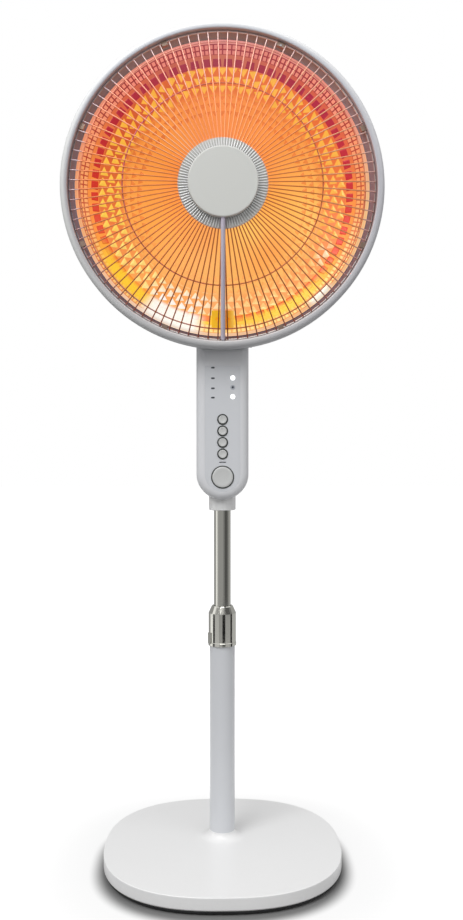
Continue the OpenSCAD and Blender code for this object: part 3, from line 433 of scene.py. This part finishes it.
def ring_painted_shade(tree):
    """Pale front band, greyer towards its inner edge, and a dim throat inside it. The greying, the change of
    tone round the ring and the dimness of the throat are painted shade.
    """
    turn, radius = on_head(tree)
    outer = around(tree, turn, [(0, (236, 237, 237)), (90, (199, 199, 204)), (180, (194, 194, 196)),
        (270, (220, 221, 220)), (320, (234, 235, 236))])
    inner = around(tree, turn, [(0, (206, 209, 216)), (90, (194, 193, 200)), (180, (208, 206, 206)),
        (270, (172, 170, 174)), (320, (196, 198, 206))])
    throat = around(tree, turn, [(0, (182, 176, 180)), (90, (150, 130, 140)), (150, (104, 92, 102)),
        (180, (98, 88, 98)), (225, (104, 94, 106)), (270, (148, 144, 162))])
    pale = at_radius(tree, radius, MOUTH + 1.2, MOUTH + 6.5, inner, outer)
    return at_radius(tree, radius, MOUTH - 0.3, MOUTH + 0.3, throat, pale)


def wire_painted_reflection(tree):
    """Plated wire with painted reflection and shade: pale over the throat, darker towards the bottom, and
    painted with the colour of the hot reflector further in.
    """
    turn, radius = on_head(tree)
    outer = around(tree, turn, [(0, (226, 196, 192)), (60, (226, 190, 184)), (110, (206, 160, 152)),
        (150, (150, 84, 66)), (180, (144, 80, 66)), (215, (150, 86, 70)), (245, (176, 132, 126)),
        (280, (186, 168, 176))])
    middle = around(tree, turn, [(0, (232, 166, 150)), (60, (236, 170, 130)), (110, (214, 140, 90)),
        (150, (160, 92, 50)), (180, (156, 84, 46)), (215, (168, 96, 56)), (250, (196, 110, 60)),
        (280, (226, 134, 80)), (310, (240, 160, 130))])
    inner = around(tree, turn, [(0, (250, 158, 104)), (45, (238, 148, 88)), (90, (204, 122, 60)),
        (180, (184, 104, 56)), (255, (196, 110, 52)), (290, (214, 128, 70)), (315, (252, 186, 140)),
        (335, (250, 158, 104))])
    over_hub = at_radius(tree, radius, 54, 57, linear(226, 226, 226), inner)
    over_rows = at_radius(tree, radius, 120, 132, over_hub, middle)
    return at_radius(tree, radius, 176, 184, over_rows, outer)


def hoop_painted_reflection(tree):
    """Painted reflection of the hot reflector and painted shade on the hoops: plum on the inner hoop, orange to
    brown on the outer one, and bright at the rim, darker at its sides.
    """
    turn, radius = on_head(tree)
    inner = around(tree, turn, [(0, (204, 112, 82)), (50, (216, 116, 100)), (100, (196, 104, 70)),
        (180, (186, 104, 60)), (250, (190, 96, 96)), (300, (206, 104, 122))])
    outer = around(tree, turn, [(0, (226, 150, 144)), (90, (232, 142, 104)), (150, (190, 108, 64)),
        (180, (176, 98, 66)), (215, (170, 120, 120)), (270, (236, 138, 96))])
    rim = around(tree, turn, [(0, (222, 204, 202)), (60, (226, 212, 210)), (100, (130, 118, 118)),
        (180, (214, 210, 208)), (260, (128, 124, 134)), (315, (196, 190, 192))])
    between = at_radius(tree, radius, 140, 160, inner, outer)
    return at_radius(tree, radius, 182, 186, between, rim)


def block_tint(tree):
    """Ochre glaze, more orange to the right of the conduit."""
    across = map_range(tree, object_parts(tree)["X"], -14 * MM, 14 * MM, smooth=False)
    return ramp(tree, across, [(0.0, linear(238, 186, 30)), (0.42, linear(230, 178, 24)),
        (0.62, linear(206, 120, 10)), (0.8, linear(226, 160, 30)), (1.0, linear(250, 200, 80))])


def lamp_finish():
    """Two lit lenses, and the middle one unlit and dark."""
    material, tree, shader = start_material("lamp_lens_glow")
    parts = object_parts(tree)
    side = math_node(tree, "SUBTRACT", parts["X"], (lamp_low.x + lamp_high.x) / 2)
    up = math_node(tree, "ABSOLUTE",
        math_node(tree, "SUBTRACT", parts["Z"], (lamp_low.z + lamp_high.z) / 2))
    lit = map_range(tree, up, 5 * MM, 6 * MM)
    unlit = at_radius(tree, distance(tree, up, side), 1.2 * MM, 1.8 * MM,
        linear(70, 74, 82), linear(184, 188, 196))
    surface = use_group(tree, MOULDED, Grain_Scale=700.0, Roughness=0.25,
        Colour=mix_colour(tree, lit, unlit, linear(250, 252, 255)), Tone_Change=0.02)
    dress(tree, shader, surface, 0.01 * MM)
    light = mix_colour(tree, lit, (0, 0, 0, 1), linear(255, 255, 255))
    tree.links.new(light, shader.inputs["Emission Color"])
    shader.inputs["Emission Strength"].default_value = 1.3
    return material


def glowing(name, colour, strength, roughness):
    """A part that glows by itself, with a braided or ground surface."""
    material, tree, shader = start_material(name)
    surface = use_group(tree, DRAWN, Stretch=(90.0, 90.0, 90.0), Roughness=roughness, Colour=colour,
        Tone_Change=0.5)
    dress(tree, shader, surface, 0.02 * MM, strength)
    return material


def quartz_finish():
    material, tree, shader = start_material("quartz_tube_glass")
    surface = use_group(tree, DRAWN, Stretch=(30.0, 30.0, 30.0), Roughness=0.06, Roughness_Change=0.05,
        Colour=linear(255, 196, 150), Tone_Change=0.1)
    dress(tree, shader, surface, 0.01 * MM, 0.4)
    shader.inputs["Transmission Weight"].default_value = 0.7
    shader.inputs["IOR"].default_value = 1.46
    return material


# Finish of the hot reflector. Its glow and its colours by turn and radius are painted reflection of the
# element's light. Turns are clockwise from the top, in degrees; radii are in mm.

# Strength of the painted glow, how much of it the bare metal's own colour keeps, and how much of the dark rows'
# colour the faint facets take on
PAINTED_GLOW, DULLED, FAINT_SHARE = 0.76, (0.3, 0.3, 0.3, 1), 0.6
CENTRE_STOPS = [(0, (252, 153, 86)), (45, (255, 156, 73)), (100, (255, 192, 92)), (150, (255, 202, 112)),
    (200, (255, 186, 108)), (250, (255, 174, 80)), (310, (253, 156, 68))]
NEAR_HUB_STOPS = [(0, (242, 130, 80)), (40, (250, 136, 70)), (90, (255, 178, 80)), (140, (255, 206, 108)),
    (200, (255, 176, 98)), (260, (255, 164, 74)), (320, (248, 134, 66))]
DARK_ROW_STOPS = [(0, (236, 124, 70)), (50, (240, 118, 60)), (100, (238, 126, 64)), (130, (248, 142, 66)),
    (185, (255, 178, 108)), (225, (252, 168, 86)), (255, (236, 124, 58)), (300, (218, 94, 50))]
BRIGHT_ROW_STOPS = [(0, (255, 188, 84)), (60, (255, 186, 74)), (110, (255, 186, 88)), (135, (255, 196, 116)),
    (170, (255, 210, 136)), (195, (255, 230, 180)), (215, (255, 224, 140)), (260, (255, 210, 80)),
    (310, (255, 184, 66))]
BAND_STOPS = [(0, (202, 116, 96)), (35, (212, 98, 80)), (70, (232, 108, 72)), (95, (252, 150, 66)),
    (128, (250, 146, 42)), (150, (254, 178, 54)), (185, (255, 206, 62)), (225, (255, 180, 60)),
    (248, (252, 150, 58)), (275, (252, 150, 66)), (310, (226, 108, 72)), (335, (204, 104, 86))]
CRIMSON_STOPS = [(0, (166, 66, 82)), (45, (180, 48, 72)), (85, (206, 50, 58)), (110, (228, 76, 52)),
    (135, (228, 88, 48)), (165, (230, 92, 48)), (190, (250, 140, 70)), (215, (250, 140, 66)),
    (235, (234, 96, 48)), (270, (216, 56, 40)), (305, (186, 44, 58)), (345, (170, 64, 82))]
SQUARE_GAP_STOPS = [(0, (160, 66, 74)), (50, (168, 56, 60)), (90, (200, 84, 54)), (130, (236, 140, 76)),
    (185, (246, 176, 96)), (230, (226, 130, 74)), (275, (192, 72, 50)), (320, (160, 58, 58))]
SQUARE_STOPS = [(0, (222, 134, 126)), (50, (255, 156, 132)), (90, (255, 168, 98)), (130, (255, 216, 140)),
    (185, (255, 220, 138)), (230, (255, 196, 116)), (275, (255, 172, 106)), (320, (252, 148, 128))]
BEAD_STOPS = [(0, (232, 154, 148)), (60, (250, 160, 140)), (95, (255, 204, 146)), (150, (255, 196, 140)),
    (210, (255, 220, 190)), (250, (255, 186, 130)), (290, (252, 160, 120))]


# Painted highlights and bright reflections: middle and half width in degrees, middle and half width in mm,
# softness, colour
SHEET_PAINTED_HIGHLIGHTS = ((226, 17, 168, 7, 0.6, (255, 204, 50)), (152, 22, 168, 6, 0.7, (255, 202, 66)),
    (202, 12, 172, 12, 0.3, (255, 250, 240)), (137, 5, 181, 4, 0.5, (255, 250, 232)),
    (140, 24, 100, 26, 0.9, (255, 178, 92)))
ROW_PAINTED_HIGHLIGHTS = ((204, 11, 153, 7, 0.5, (255, 252, 244)), (200, 13, 142, 8, 0.6, (255, 240, 214)),
    (121, 5, 152, 7, 0.9, (255, 226, 186)), (140, 24, 100, 26, 0.9, (255, 178, 92)))


def painted_glow_reflector(name, colour_of, patches=SHEET_PAINTED_HIGHLIGHTS, roughness=0.3):
    """Embossed aluminium whose light is painted on: a glow and colours that stand in for the element's
    reflected light; colour_of gives its colour from turn and radius.
    """
    material, tree, shader = start_material(name)
    turn, radius = on_head(tree)
    colour = colour_of(tree, turn, radius)
    for middle, half, ring, deep, soft, tint in patches:
        patch = use_group(tree, HIGHLIGHT_MASK, Turn=turn, Radius=radius, Middle_Turn=middle / 360,
            Half_Turn=half / 360, Middle_Radius=float(ring), Half_Radius=float(deep), Softness=soft)
        colour = mix_colour(tree, patch.outputs["Mask"], colour, linear(*tint))
    surface = use_group(tree, MOULDED, Grain_Scale=420.0, Tone_Scale=26.0, Roughness=roughness,
        Roughness_Change=0.15, Colour=colour, Tone_Change=0.16)
    dress(tree, shader, surface, 0.03 * MM, PAINTED_GLOW)
    base = mix_colour(tree, 1.0, surface.outputs["Colour"], DULLED, "MULTIPLY")
    tree.links.new(base, shader.inputs["Base Color"])
    shader.inputs["Metallic"].default_value = 0.35
    return material


def sheet_colour(tree, turn, radius):
    """The sheet between the facets, from the hub out to the bead at the rim."""
    near_hub, centre = around(tree, turn, NEAR_HUB_STOPS), around(tree, turn, CENTRE_STOPS)
    colour = at_radius(tree, radius, 52, 92, near_hub, centre)
    for edge, soft, stops in ((129, 8, DARK_ROW_STOPS), (BAND[0] - 0.2, 0.4, BAND_STOPS),
            (BAND[1] + 0.4, 0.6, SQUARE_GAP_STOPS), (BEAD, 0.4, BEAD_STOPS)):
        colour = at_radius(tree, radius, edge - soft, edge + soft, colour, around(tree, turn, stops))
    return colour


def facet_colour(tree, turn, radius):
    """The faint rows near the middle, and the bright rows outside them."""
    faint = mix_colour(tree, FAINT_SHARE, around(tree, turn, CENTRE_STOPS),
        around(tree, turn, DARK_ROW_STOPS))
    return at_radius(tree, radius, 126, 131, faint, around(tree, turn, BRIGHT_ROW_STOPS))


def crimson_colour(tree, turn, radius):
    return around(tree, turn, CRIMSON_STOPS)


def square_colour(tree, turn, radius):
    return around(tree, turn, SQUARE_STOPS)


FINISH = {
    "white_gloss": moulded("white_gloss_plastic", linear(243, 243, 243), 0.3, coat=0.25, tone=0.02),
    "white_paint": moulded("white_enamel", linear(214, 216, 220), 0.32, grain=500.0, coat=0.2, tone=0.03),
    "column_plastic": moulded("column_plastic", linear(226, 227, 230), 0.38, tone=0.03),
    "panel_grey": moulded("panel_film", linear(216, 218, 222), 0.45, grain=1500.0, tone=0.05),
    "black_plastic": moulded("black_plastic", linear(38, 38, 40), 0.5, tone=0.2),
    "black_rubber": moulded("black_rubber", linear(32, 32, 33), 0.8, grain=1200.0, tone=0.3, depth=0.05 * MM),
    "grey_nylon": moulded("grey_nylon", linear(186, 186, 182), 0.5, tone=0.05),
    "ballast_iron": moulded("cast_iron", linear(86, 86, 88), 0.75, grain=260.0, tone=0.4, depth=0.2 * MM),
    "board_green": moulded("printed_board", linear(44, 96, 60), 0.45, tone=0.3),
    "fibre": moulded("pressed_fibre", linear(128, 84, 54), 0.75, grain=700.0, tone=0.4, depth=0.06 * MM),
    "ceramic": moulded("glazed_ceramic", linear(238, 230, 214), 0.25, tone=0.06, coat=0.4),
    "button_grey": moulded("button_plastic", linear(209, 210, 209), 0.3, tone=0.05),
    "shell_plastic": moulded("shell_enamel", linear(206, 206, 206), 0.42, tone=0.04),
    "hub_metal": moulded("hub_enamel", linear(210, 211, 207), 0.4, grain=700.0, tone=0.05),
    "ring_plastic": moulded("ring_plastic", None, 0.4, tone=0.04, tint=ring_painted_shade),
    # The ochre block's glow is painted light: the block itself is no heater.
    "ochre_ceramic": moulded("ochre_glaze", None, 0.35, tone=0.1, tint=block_tint, glow=0.35),
    "zinc_steel": drawn("zinc_steel", linear(190, 190, 192), 0.34, stretch=(30.0, 30.0, 30.0)),
    "chrome": drawn("chrome_plate", linear(224, 223, 215), 0.07, tone=0.04, change=0.04, depth=0.002 * MM),
    "guard_wire": drawn("plated_wire", None, 0.3, tone=0.12, metallic=0.35, tint=wire_painted_reflection),
    "guard_clip": drawn("clip_steel", linear(160, 138, 124), 0.35, metallic=0.7),
    "conduit_metal": drawn("conduit_enamel", linear(205, 198, 214), 0.3, tone=0.06, metallic=0.4),
    "quartz": quartz_finish(),
    "carbon": glowing("hot_carbon", linear(255, 150, 70), 2.2, 0.6),
    "lamp_lens": lamp_finish(),
}
HOOP_FINISH = drawn("plated_hoop", None, 0.3, tone=0.1, metallic=0.35, tint=hoop_painted_reflection)
# Dark plastic for the rings that paint the shadow in the gap round each button
SHADOW_RING_FINISH = moulded("shadow_ring_plastic", linear(58, 62, 60), 0.35, tone=0.1)
SHEET_FINISH = painted_glow_reflector("reflector_sheet", sheet_colour)
FACET_FINISH = painted_glow_reflector("reflector_facets", facet_colour, ROW_PAINTED_HIGHLIGHTS, roughness=0.22)
CRIMSON_FINISH = painted_glow_reflector("reflector_band_facets", crimson_colour, roughness=0.25)
SQUARE_FINISH = painted_glow_reflector("reflector_squares", square_colour, roughness=0.25)

for row in frame["record"]["subparts"]:
    if row["material_slot"] == "reflector_metal":
        continue
    mesh = frame["nodes"][row["node"]].data
    mesh.materials.clear()
    mesh.materials.append(HOOP_FINISH if row["node"] == "guard_hoops" else FINISH[row["material_slot"]])


# The reflector with its embossed rows

def bowl_y(r):
    """How far back the bowl lies at a radius."""
    return RIM_Y + DISH_DEPTH * (1 - (r / DISH_R) ** 2)


def on_bowl(r, degrees, lift):
    a = math.radians(degrees)
    return (r * math.sin(a), bowl_y(r) - lift, HEAD_Z + r * math.cos(a))


# Sides of the embossed facets: a low pyramid, and a block with a flat top
PYRAMID = [[0, 1, 3], [1, 2, 3], [2, 0, 3], [2, 1, 0]]
BLOCK = [[4, 5, 6, 7], [0, 1, 5, 4], [1, 2, 6, 5], [2, 3, 7, 6], [3, 0, 4, 7], [3, 2, 1, 0]]


def reflector_dish():
    sheet, facets, crimson, squares = range(4)
    radii = [DISH_R * i / DISH_RINGS for i in range(DISH_RINGS + 1)]
    front = [(r, bowl_y(r)) for r in radii]
    back = [(r, y + SHEET) for r, y in reversed(front)]
    points, faces = turned(front + back, DISH_STEPS, 1, 361)
    points = placed(points, 0, 0, HEAD_Z)
    kinds = [sheet] * len(faces)

    def solid(corners, sides, kind):
        first = len(points)
        points.extend(corners)
        faces.extend([[first + i for i in side] for side in sides])
        kinds.extend([kind] * len(sides))

    flange, flange_faces = turned([(DISH_R, RIM_Y), (FLANGE_R, RIM_Y), (FLANGE_R, RIM_Y + SHEET),
        (DISH_R, RIM_Y + SHEET)], 176, 181, 539)
    solid(placed(flange, 0, 0, HEAD_Z), flange_faces, sheet)

    def triangle(middle, half, base, tip, lift, kind):
        """One raised facet, its base on one radius and its tip on another."""
        base, tip = base * MM, tip * MM
        centre = (2 * base + tip) / 3
        solid([on_bowl(base, middle - half, -SINK), on_bowl(base, middle + half, -SINK),
            on_bowl(tip, middle, -SINK), on_bowl(centre, middle, lift)], PYRAMID, kind)

    def upright(middle, radius, wide, tall, lift, kind):
        """One raised facet that points up, or down in the sector at the top of the dish."""
        x, z = radius * math.sin(math.radians(middle)), radius * math.cos(math.radians(middle))
        point = -1 if math.cos(math.radians(middle)) > POINTS_DOWN else 1
        corners = [(x + point * wide / 2, z - point * tall / 2, -SINK),
            (x - point * wide / 2, z - point * tall / 2, -SINK), (x, z + point * tall / 2, -SINK),
            (x, z - point * tall / 6, lift)]
        solid([(u, bowl_y(math.hypot(u, v)) - rise, HEAD_Z + v) for u, v, rise in corners], PYRAMID, kind)

    def block(middle, near, half_near, far, half_far, inset, lift, kind):
        """One raised four-sided facet with a flat top."""
        low = [on_bowl(r * MM, middle + a, -SINK) for r, a in ((near, -half_near), (near, half_near),
            (far, half_far), (far, -half_far))]
        top = [on_bowl(r * MM, middle + a * 0.7, lift) for r, a in ((near + inset, -half_near),
            (near + inset, half_near), (far - inset, half_far), (far - inset, -half_far))]
        solid(low + top, BLOCK, kind)

    pitch = 360 / ROW_COLUMNS
    for number, (near, far) in enumerate(FAINT_ROWS):
        for i in range(ROW_COLUMNS):
            triangle((i + 0.5 * (number % 2)) * pitch, pitch * 0.49, far, near, FAINT_LIFT, facets)
    for number, (near, far) in enumerate(BRIGHT_ROWS):
        for i in range(ROW_COLUMNS):
            turn = (i + 0.5 * (number % 2)) * pitch
            sideways = abs(math.sin(math.radians(turn)))
            radius, deep = (near + far) / 2 * MM, (far - near) * MM
            wide = deep * (1.2 + 0.3 * (1 - sideways))
            upright(turn, radius, wide, deep * (1 + 0.36 * sideways), BRIGHT_LIFT, facets)
    for i in range(ROW_COLUMNS):
        block((i + 0.5) * pitch, BAND[0] + 0.3, pitch * 0.43, BAND[0] + 8.6, pitch * 0.36, 0.8, BLOCK_LIFT,
            crimson)
    pitch = 360 / SQUARE_COLUMNS
    for near, far in SQUARE_ROWS:
        for i in range(SQUARE_COLUMNS):
            block((i + 0.5) * pitch, near, pitch * 0.39, far, pitch * 0.39, 0.6, SQUARE_LIFT, squares)
    dish = piece("reflector_dish", points, faces, "head",
        [SHEET_FINISH, FACET_FINISH, CRIMSON_FINISH, SQUARE_FINISH], face_materials=kinds)
    weld(dish)
    for face in dish.data.polygons:
        face.use_smooth = face.material_index == sheet
    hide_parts("reflector")


reflector_dish()


# Push buttons with a raised rim and a hollowed face

def button_cap(node, body, key_r):
    low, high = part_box(node)
    x, z = (low.x + high.x) / 2, (low.z + high.z) / 2
    flange_r = (high.x - low.x) / 2
    length = high.y - low.y
    stem, stem_r, flange_t = 0.5 * MM, 2 * MM, 1 * MM
    flange = length - stem - flange_t
    profile = [(0, 0.55 * MM), (key_r * 0.45, 0.45 * MM), (key_r * 0.66, 0.22 * MM),
        (key_r * 0.76, 0.04 * MM), (key_r * 0.86, 0), (key_r * 0.95, 0.12 * MM), (key_r, 0.6 * MM),
        (key_r, flange), (flange_r, flange), (flange_r, flange + flange_t), (stem_r, flange + flange_t),
        (stem_r, length), (0, length)]
    points, faces = turned(profile, 64)
    points = placed(points, x, low.y, z)
    cap = piece(node + "_cap", points, faces, body, [FINISH["button_grey"]])
    weld(cap)
    sharpen(cap, 40)
    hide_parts(node)
    return x, z


def shadow_ring(name, place, inner, outer, proud):
    """A dark ring on the panel round a button, a painted shadow standing in for the gap round it."""
    profile = [(inner, 0), (inner, -0.1 * MM), ((inner + outer) / 2, -0.2 * MM), (outer, -0.1 * MM),
        (outer, proud + 0.1 * MM), (inner, proud + 0.1 * MM)]
    points, faces = turned(profile, 48)
    points = placed(points, place[0], PANEL_FRONT - proud, place[1])
    ring = piece(name, points, faces, "column", [SHADOW_RING_FINISH])
    weld(ring)
    sharpen(ring, 40)


KEY_R, POWER_R = 5.3 * MM, 13.2 * MM
for number in range(1, 5):
    middle = button_cap(f"button_{number}", f"key_{number}", KEY_R)
    shadow_ring(f"bezel_{number}", middle, KEY_R + 0.15 * MM, KEY_R + 1.65 * MM, 0.5 * MM)
middle = button_cap("button_power", "key_power", POWER_R)
shadow_ring("shadow_ring_power", middle, POWER_R + 0.15 * MM, POWER_R + 1.5 * MM, 0.4 * MM)


# Plain printed marks on the panel

def rounded_bar(x, z, width, height, lift):
    """A thin bar with round ends, lying on the panel."""
    r = height / 2
    outline = []
    for side, start in ((1, -90), (-1, 90)):
        for i in range(7):
            a = math.radians(start + i * 30)
            outline.append((x + side * (width / 2 - r) + r * math.cos(a), z + r * math.sin(a)))
    count = len(outline)
    points = [(px, PANEL_FRONT + 0.05 * MM, pz) for px, pz in outline]
    points += [(px, PANEL_FRONT - lift, pz) for px, pz in outline]
    faces = [list(range(count)), list(reversed(range(count, 2 * count)))]
    faces += [[i, count + i, count + (i + 1) % count, (i + 1) % count] for i in range(count)]
    return points, faces


def panel_marks():
    points, faces = [], []
    lamp_top = lamp_high.z - (lamp_high.x - lamp_low.x) / 2
    places = [(-12.4 * MM, lamp_top + rise * MM, 4.8 * MM, 2.2 * MM) for rise in (13, -0.5, -13.3, -25.2)]
    power_low, power_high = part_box("button_power")
    places.append((0, power_high.z + 4.4 * MM, 9 * MM, 1.3 * MM))
    for x, z, width, height in places:
        more, sides = rounded_bar(x, z, width, height, 0.08 * MM)
        faces += [[len(points) + i for i in side] for side in sides]
        points += more
    ink = moulded("panel_ink", linear(66, 68, 74), 0.55, tone=0.1)
    marks = piece("panel_marks", points, faces, "column", [ink], smooth=False)
    weld(marks)


panel_marks()


# Floor, backdrop and lights

FLOOR_GREY, FLOOR_REACH = linear(130, 130, 130), 9
# How bright the floor's whiteness is beside the base and far from it, and where it rises, in metres; at the
# foot of the base it falls to nothing, which paints a contact shadow
SHINE_NEAR, SHINE_FAR = 0.75, 1.0
SHADE_FROM, SHADE_TO, SHADE_AHEAD = 0.149, 0.172, 0.008
FAR_FROM, FAR_TO = 0.17, 0.38
# Power of the rounded square that the base is
BASE_POWER = 2.42
AMBIENT = 0.54

floor_mesh = bpy.data.meshes.new("floor")
floor_mesh.from_pydata([(x * FLOOR_REACH, y * FLOOR_REACH, 0) for x, y in ((-1, -1), (1, -1), (1, 1), (-1, 1))],
    [], [[0, 1, 2, 3]])
floor = bpy.data.objects.new("floor", floor_mesh)
scene.collection.objects.link(floor)


def seen_directly(tree):
    """1 for rays from the camera and for what metal and glass show, 0 for the light that falls on things."""
    path = add(tree, "ShaderNodeLightPath")
    bright = math_node(tree, "MAXIMUM", path.outputs["Is Camera Ray"], path.outputs["Is Glossy Ray"])
    return math_node(tree, "MAXIMUM", bright, path.outputs["Is Transmission Ray"])


def floor_whiteness_and_painted_shadow(tree):
    """How much of the floor's own whiteness shows: none at the foot of the base, which paints a contact shadow
    there, and most a little further out.
    The painted shadow keeps the outline of the base, a rounded square, set a little towards the front."""
    parts = object_parts(tree)
    across = math_node(tree, "POWER", math_node(tree, "ABSOLUTE", parts["X"]), BASE_POWER)
    ahead = math_node(tree, "ABSOLUTE", math_node(tree, "ADD", parts["Y"], SHADE_AHEAD))
    along = math_node(tree, "POWER", ahead, BASE_POWER)
    reach = math_node(tree, "POWER", math_node(tree, "ADD", across, along), 1 / BASE_POWER)
    near = map_range(tree, reach, SHADE_FROM, SHADE_TO, 0.0, SHINE_NEAR)
    far = map_range(tree, reach, FAR_FROM, FAR_TO, 0.0, SHINE_FAR - SHINE_NEAR)
    return math_node(tree, "ADD", near, far)


floor_finish, floor_tree, floor_shader = start_material("floor_white")
floor_shader.inputs["Base Color"].default_value = FLOOR_GREY
floor_shader.inputs["Roughness"].default_value = 1.0
floor_shader.inputs["Specular IOR Level"].default_value = 0.0
shine = add(floor_tree, "ShaderNodeEmission")
whiteness = math_node(floor_tree, "MULTIPLY", seen_directly(floor_tree), floor_whiteness_and_painted_shadow(floor_tree))
floor_tree.links.new(whiteness, shine.inputs["Strength"])
both = add(floor_tree, "ShaderNodeAddShader")
floor_tree.links.new(floor_shader.outputs[0], both.inputs[0])
floor_tree.links.new(shine.outputs[0], both.inputs[1])
floor_tree.links.new(both.outputs[0], floor_tree.nodes["Material Output"].inputs[0])
floor_mesh.materials.append(floor_finish)

world = bpy.data.worlds.new("studio")
world.use_nodes = True
scene.world = world
world_tree = world.node_tree
backdrop = world_tree.nodes["Background"]
backdrop.inputs["Color"].default_value = (1, 1, 1, 1)
world_tree.links.new(map_range(world_tree, seen_directly(world_tree), 0.0, 1.0, AMBIENT, 1.0, smooth=False),
    backdrop.inputs["Strength"])


def soft_box(name, place, target, size, watts):
    data = bpy.data.lights.new(name, "AREA")
    data.shape = "DISK"
    data.size = size
    data.energy = watts
    lamp = bpy.data.objects.new(name, data)
    lamp.location = place
    x, y, z = [t - p for t, p in zip(target, place)]
    lamp.rotation_euler = (math.atan2(math.hypot(x, y), -z), 0, math.atan2(y, x) - math.pi / 2)
    scene.collection.objects.link(lamp)


soft_box("key_light", (-1.1, -1.6, 2.3), (0, 0, 0.5), 1.6, 33)
soft_box("fill_light", (1.7, -1.3, 1.4), (0, 0, 0.5), 1.6, 6)
soft_box("top_light", (0, -0.75, 2.4), (0, 0, 0.1), 1.2, 8)


# Cards that polished metal mirrors, at this distance from the pole
CARD_REACH = 1.2


def studio_card(name, start, end, low, high, brightness):
    """A curved card round the heater that only polished metal reflects.
    Angles are in degrees from straight in front, positive to the right."""
    steps = max(1, round((end - start) / 10))
    corners = []
    for i in range(steps + 1):
        a = math.radians(start + (end - start) * i / steps)
        x, y = CARD_REACH * math.sin(a), -CARD_REACH * math.cos(a)
        corners += [(x, y, low), (x, y, high)]
    mesh = bpy.data.meshes.new(name)
    mesh.from_pydata(corners, [], [[2 * i, 2 * i + 2, 2 * i + 3, 2 * i + 1] for i in range(steps)])
    card = bpy.data.objects.new(name, mesh)
    material = bpy.data.materials.new(name)
    material.use_nodes = True
    material.node_tree.nodes.clear()
    glow = add(material.node_tree, "ShaderNodeEmission")
    glow.inputs["Strength"].default_value = brightness
    result = add(material.node_tree, "ShaderNodeOutputMaterial", 300)
    material.node_tree.links.new(glow.outputs[0], result.inputs[0])
    mesh.materials.append(material)
    scene.collection.objects.link(card)
    card.visible_camera = False
    card.visible_diffuse = False
    card.visible_shadow = False
    card.visible_transmission = False


# The collar reflects what stands below CARD_SPLIT, the tube what stands above it
CARD_LOW, CARD_SPLIT, CARD_HIGH = -0.05, 0.105, 1.3
GREY = 0.34
COLLAR_CARDS = ((-180, -120, GREY), (-120, -88, 1.0), (-88, -66, 0.06), (-66, -30, 0.52), (-30, 0, GREY),
    (0, 25, 0.01), (25, 72, 0.38), (72, 90, 0.01), (90, 180, 0.5))
TUBE_CARDS = ((-180, -100, GREY), (-100, -74, 1.0), (-74, -60, 0.5), (-60, 10, GREY), (10, 30, 0.25),
    (30, 75, 0.1), (75, 97, 0.2), (97, 180, 0.4))
CARDS = [(*card, CARD_LOW, CARD_SPLIT) for card in COLLAR_CARDS]
CARDS += [(*card, CARD_SPLIT, CARD_HIGH) for card in TUBE_CARDS]
for number, (start, end, brightness, low, high) in enumerate(CARDS):
    studio_card(f"studio_card_{number}", start, end, low, high, brightness)
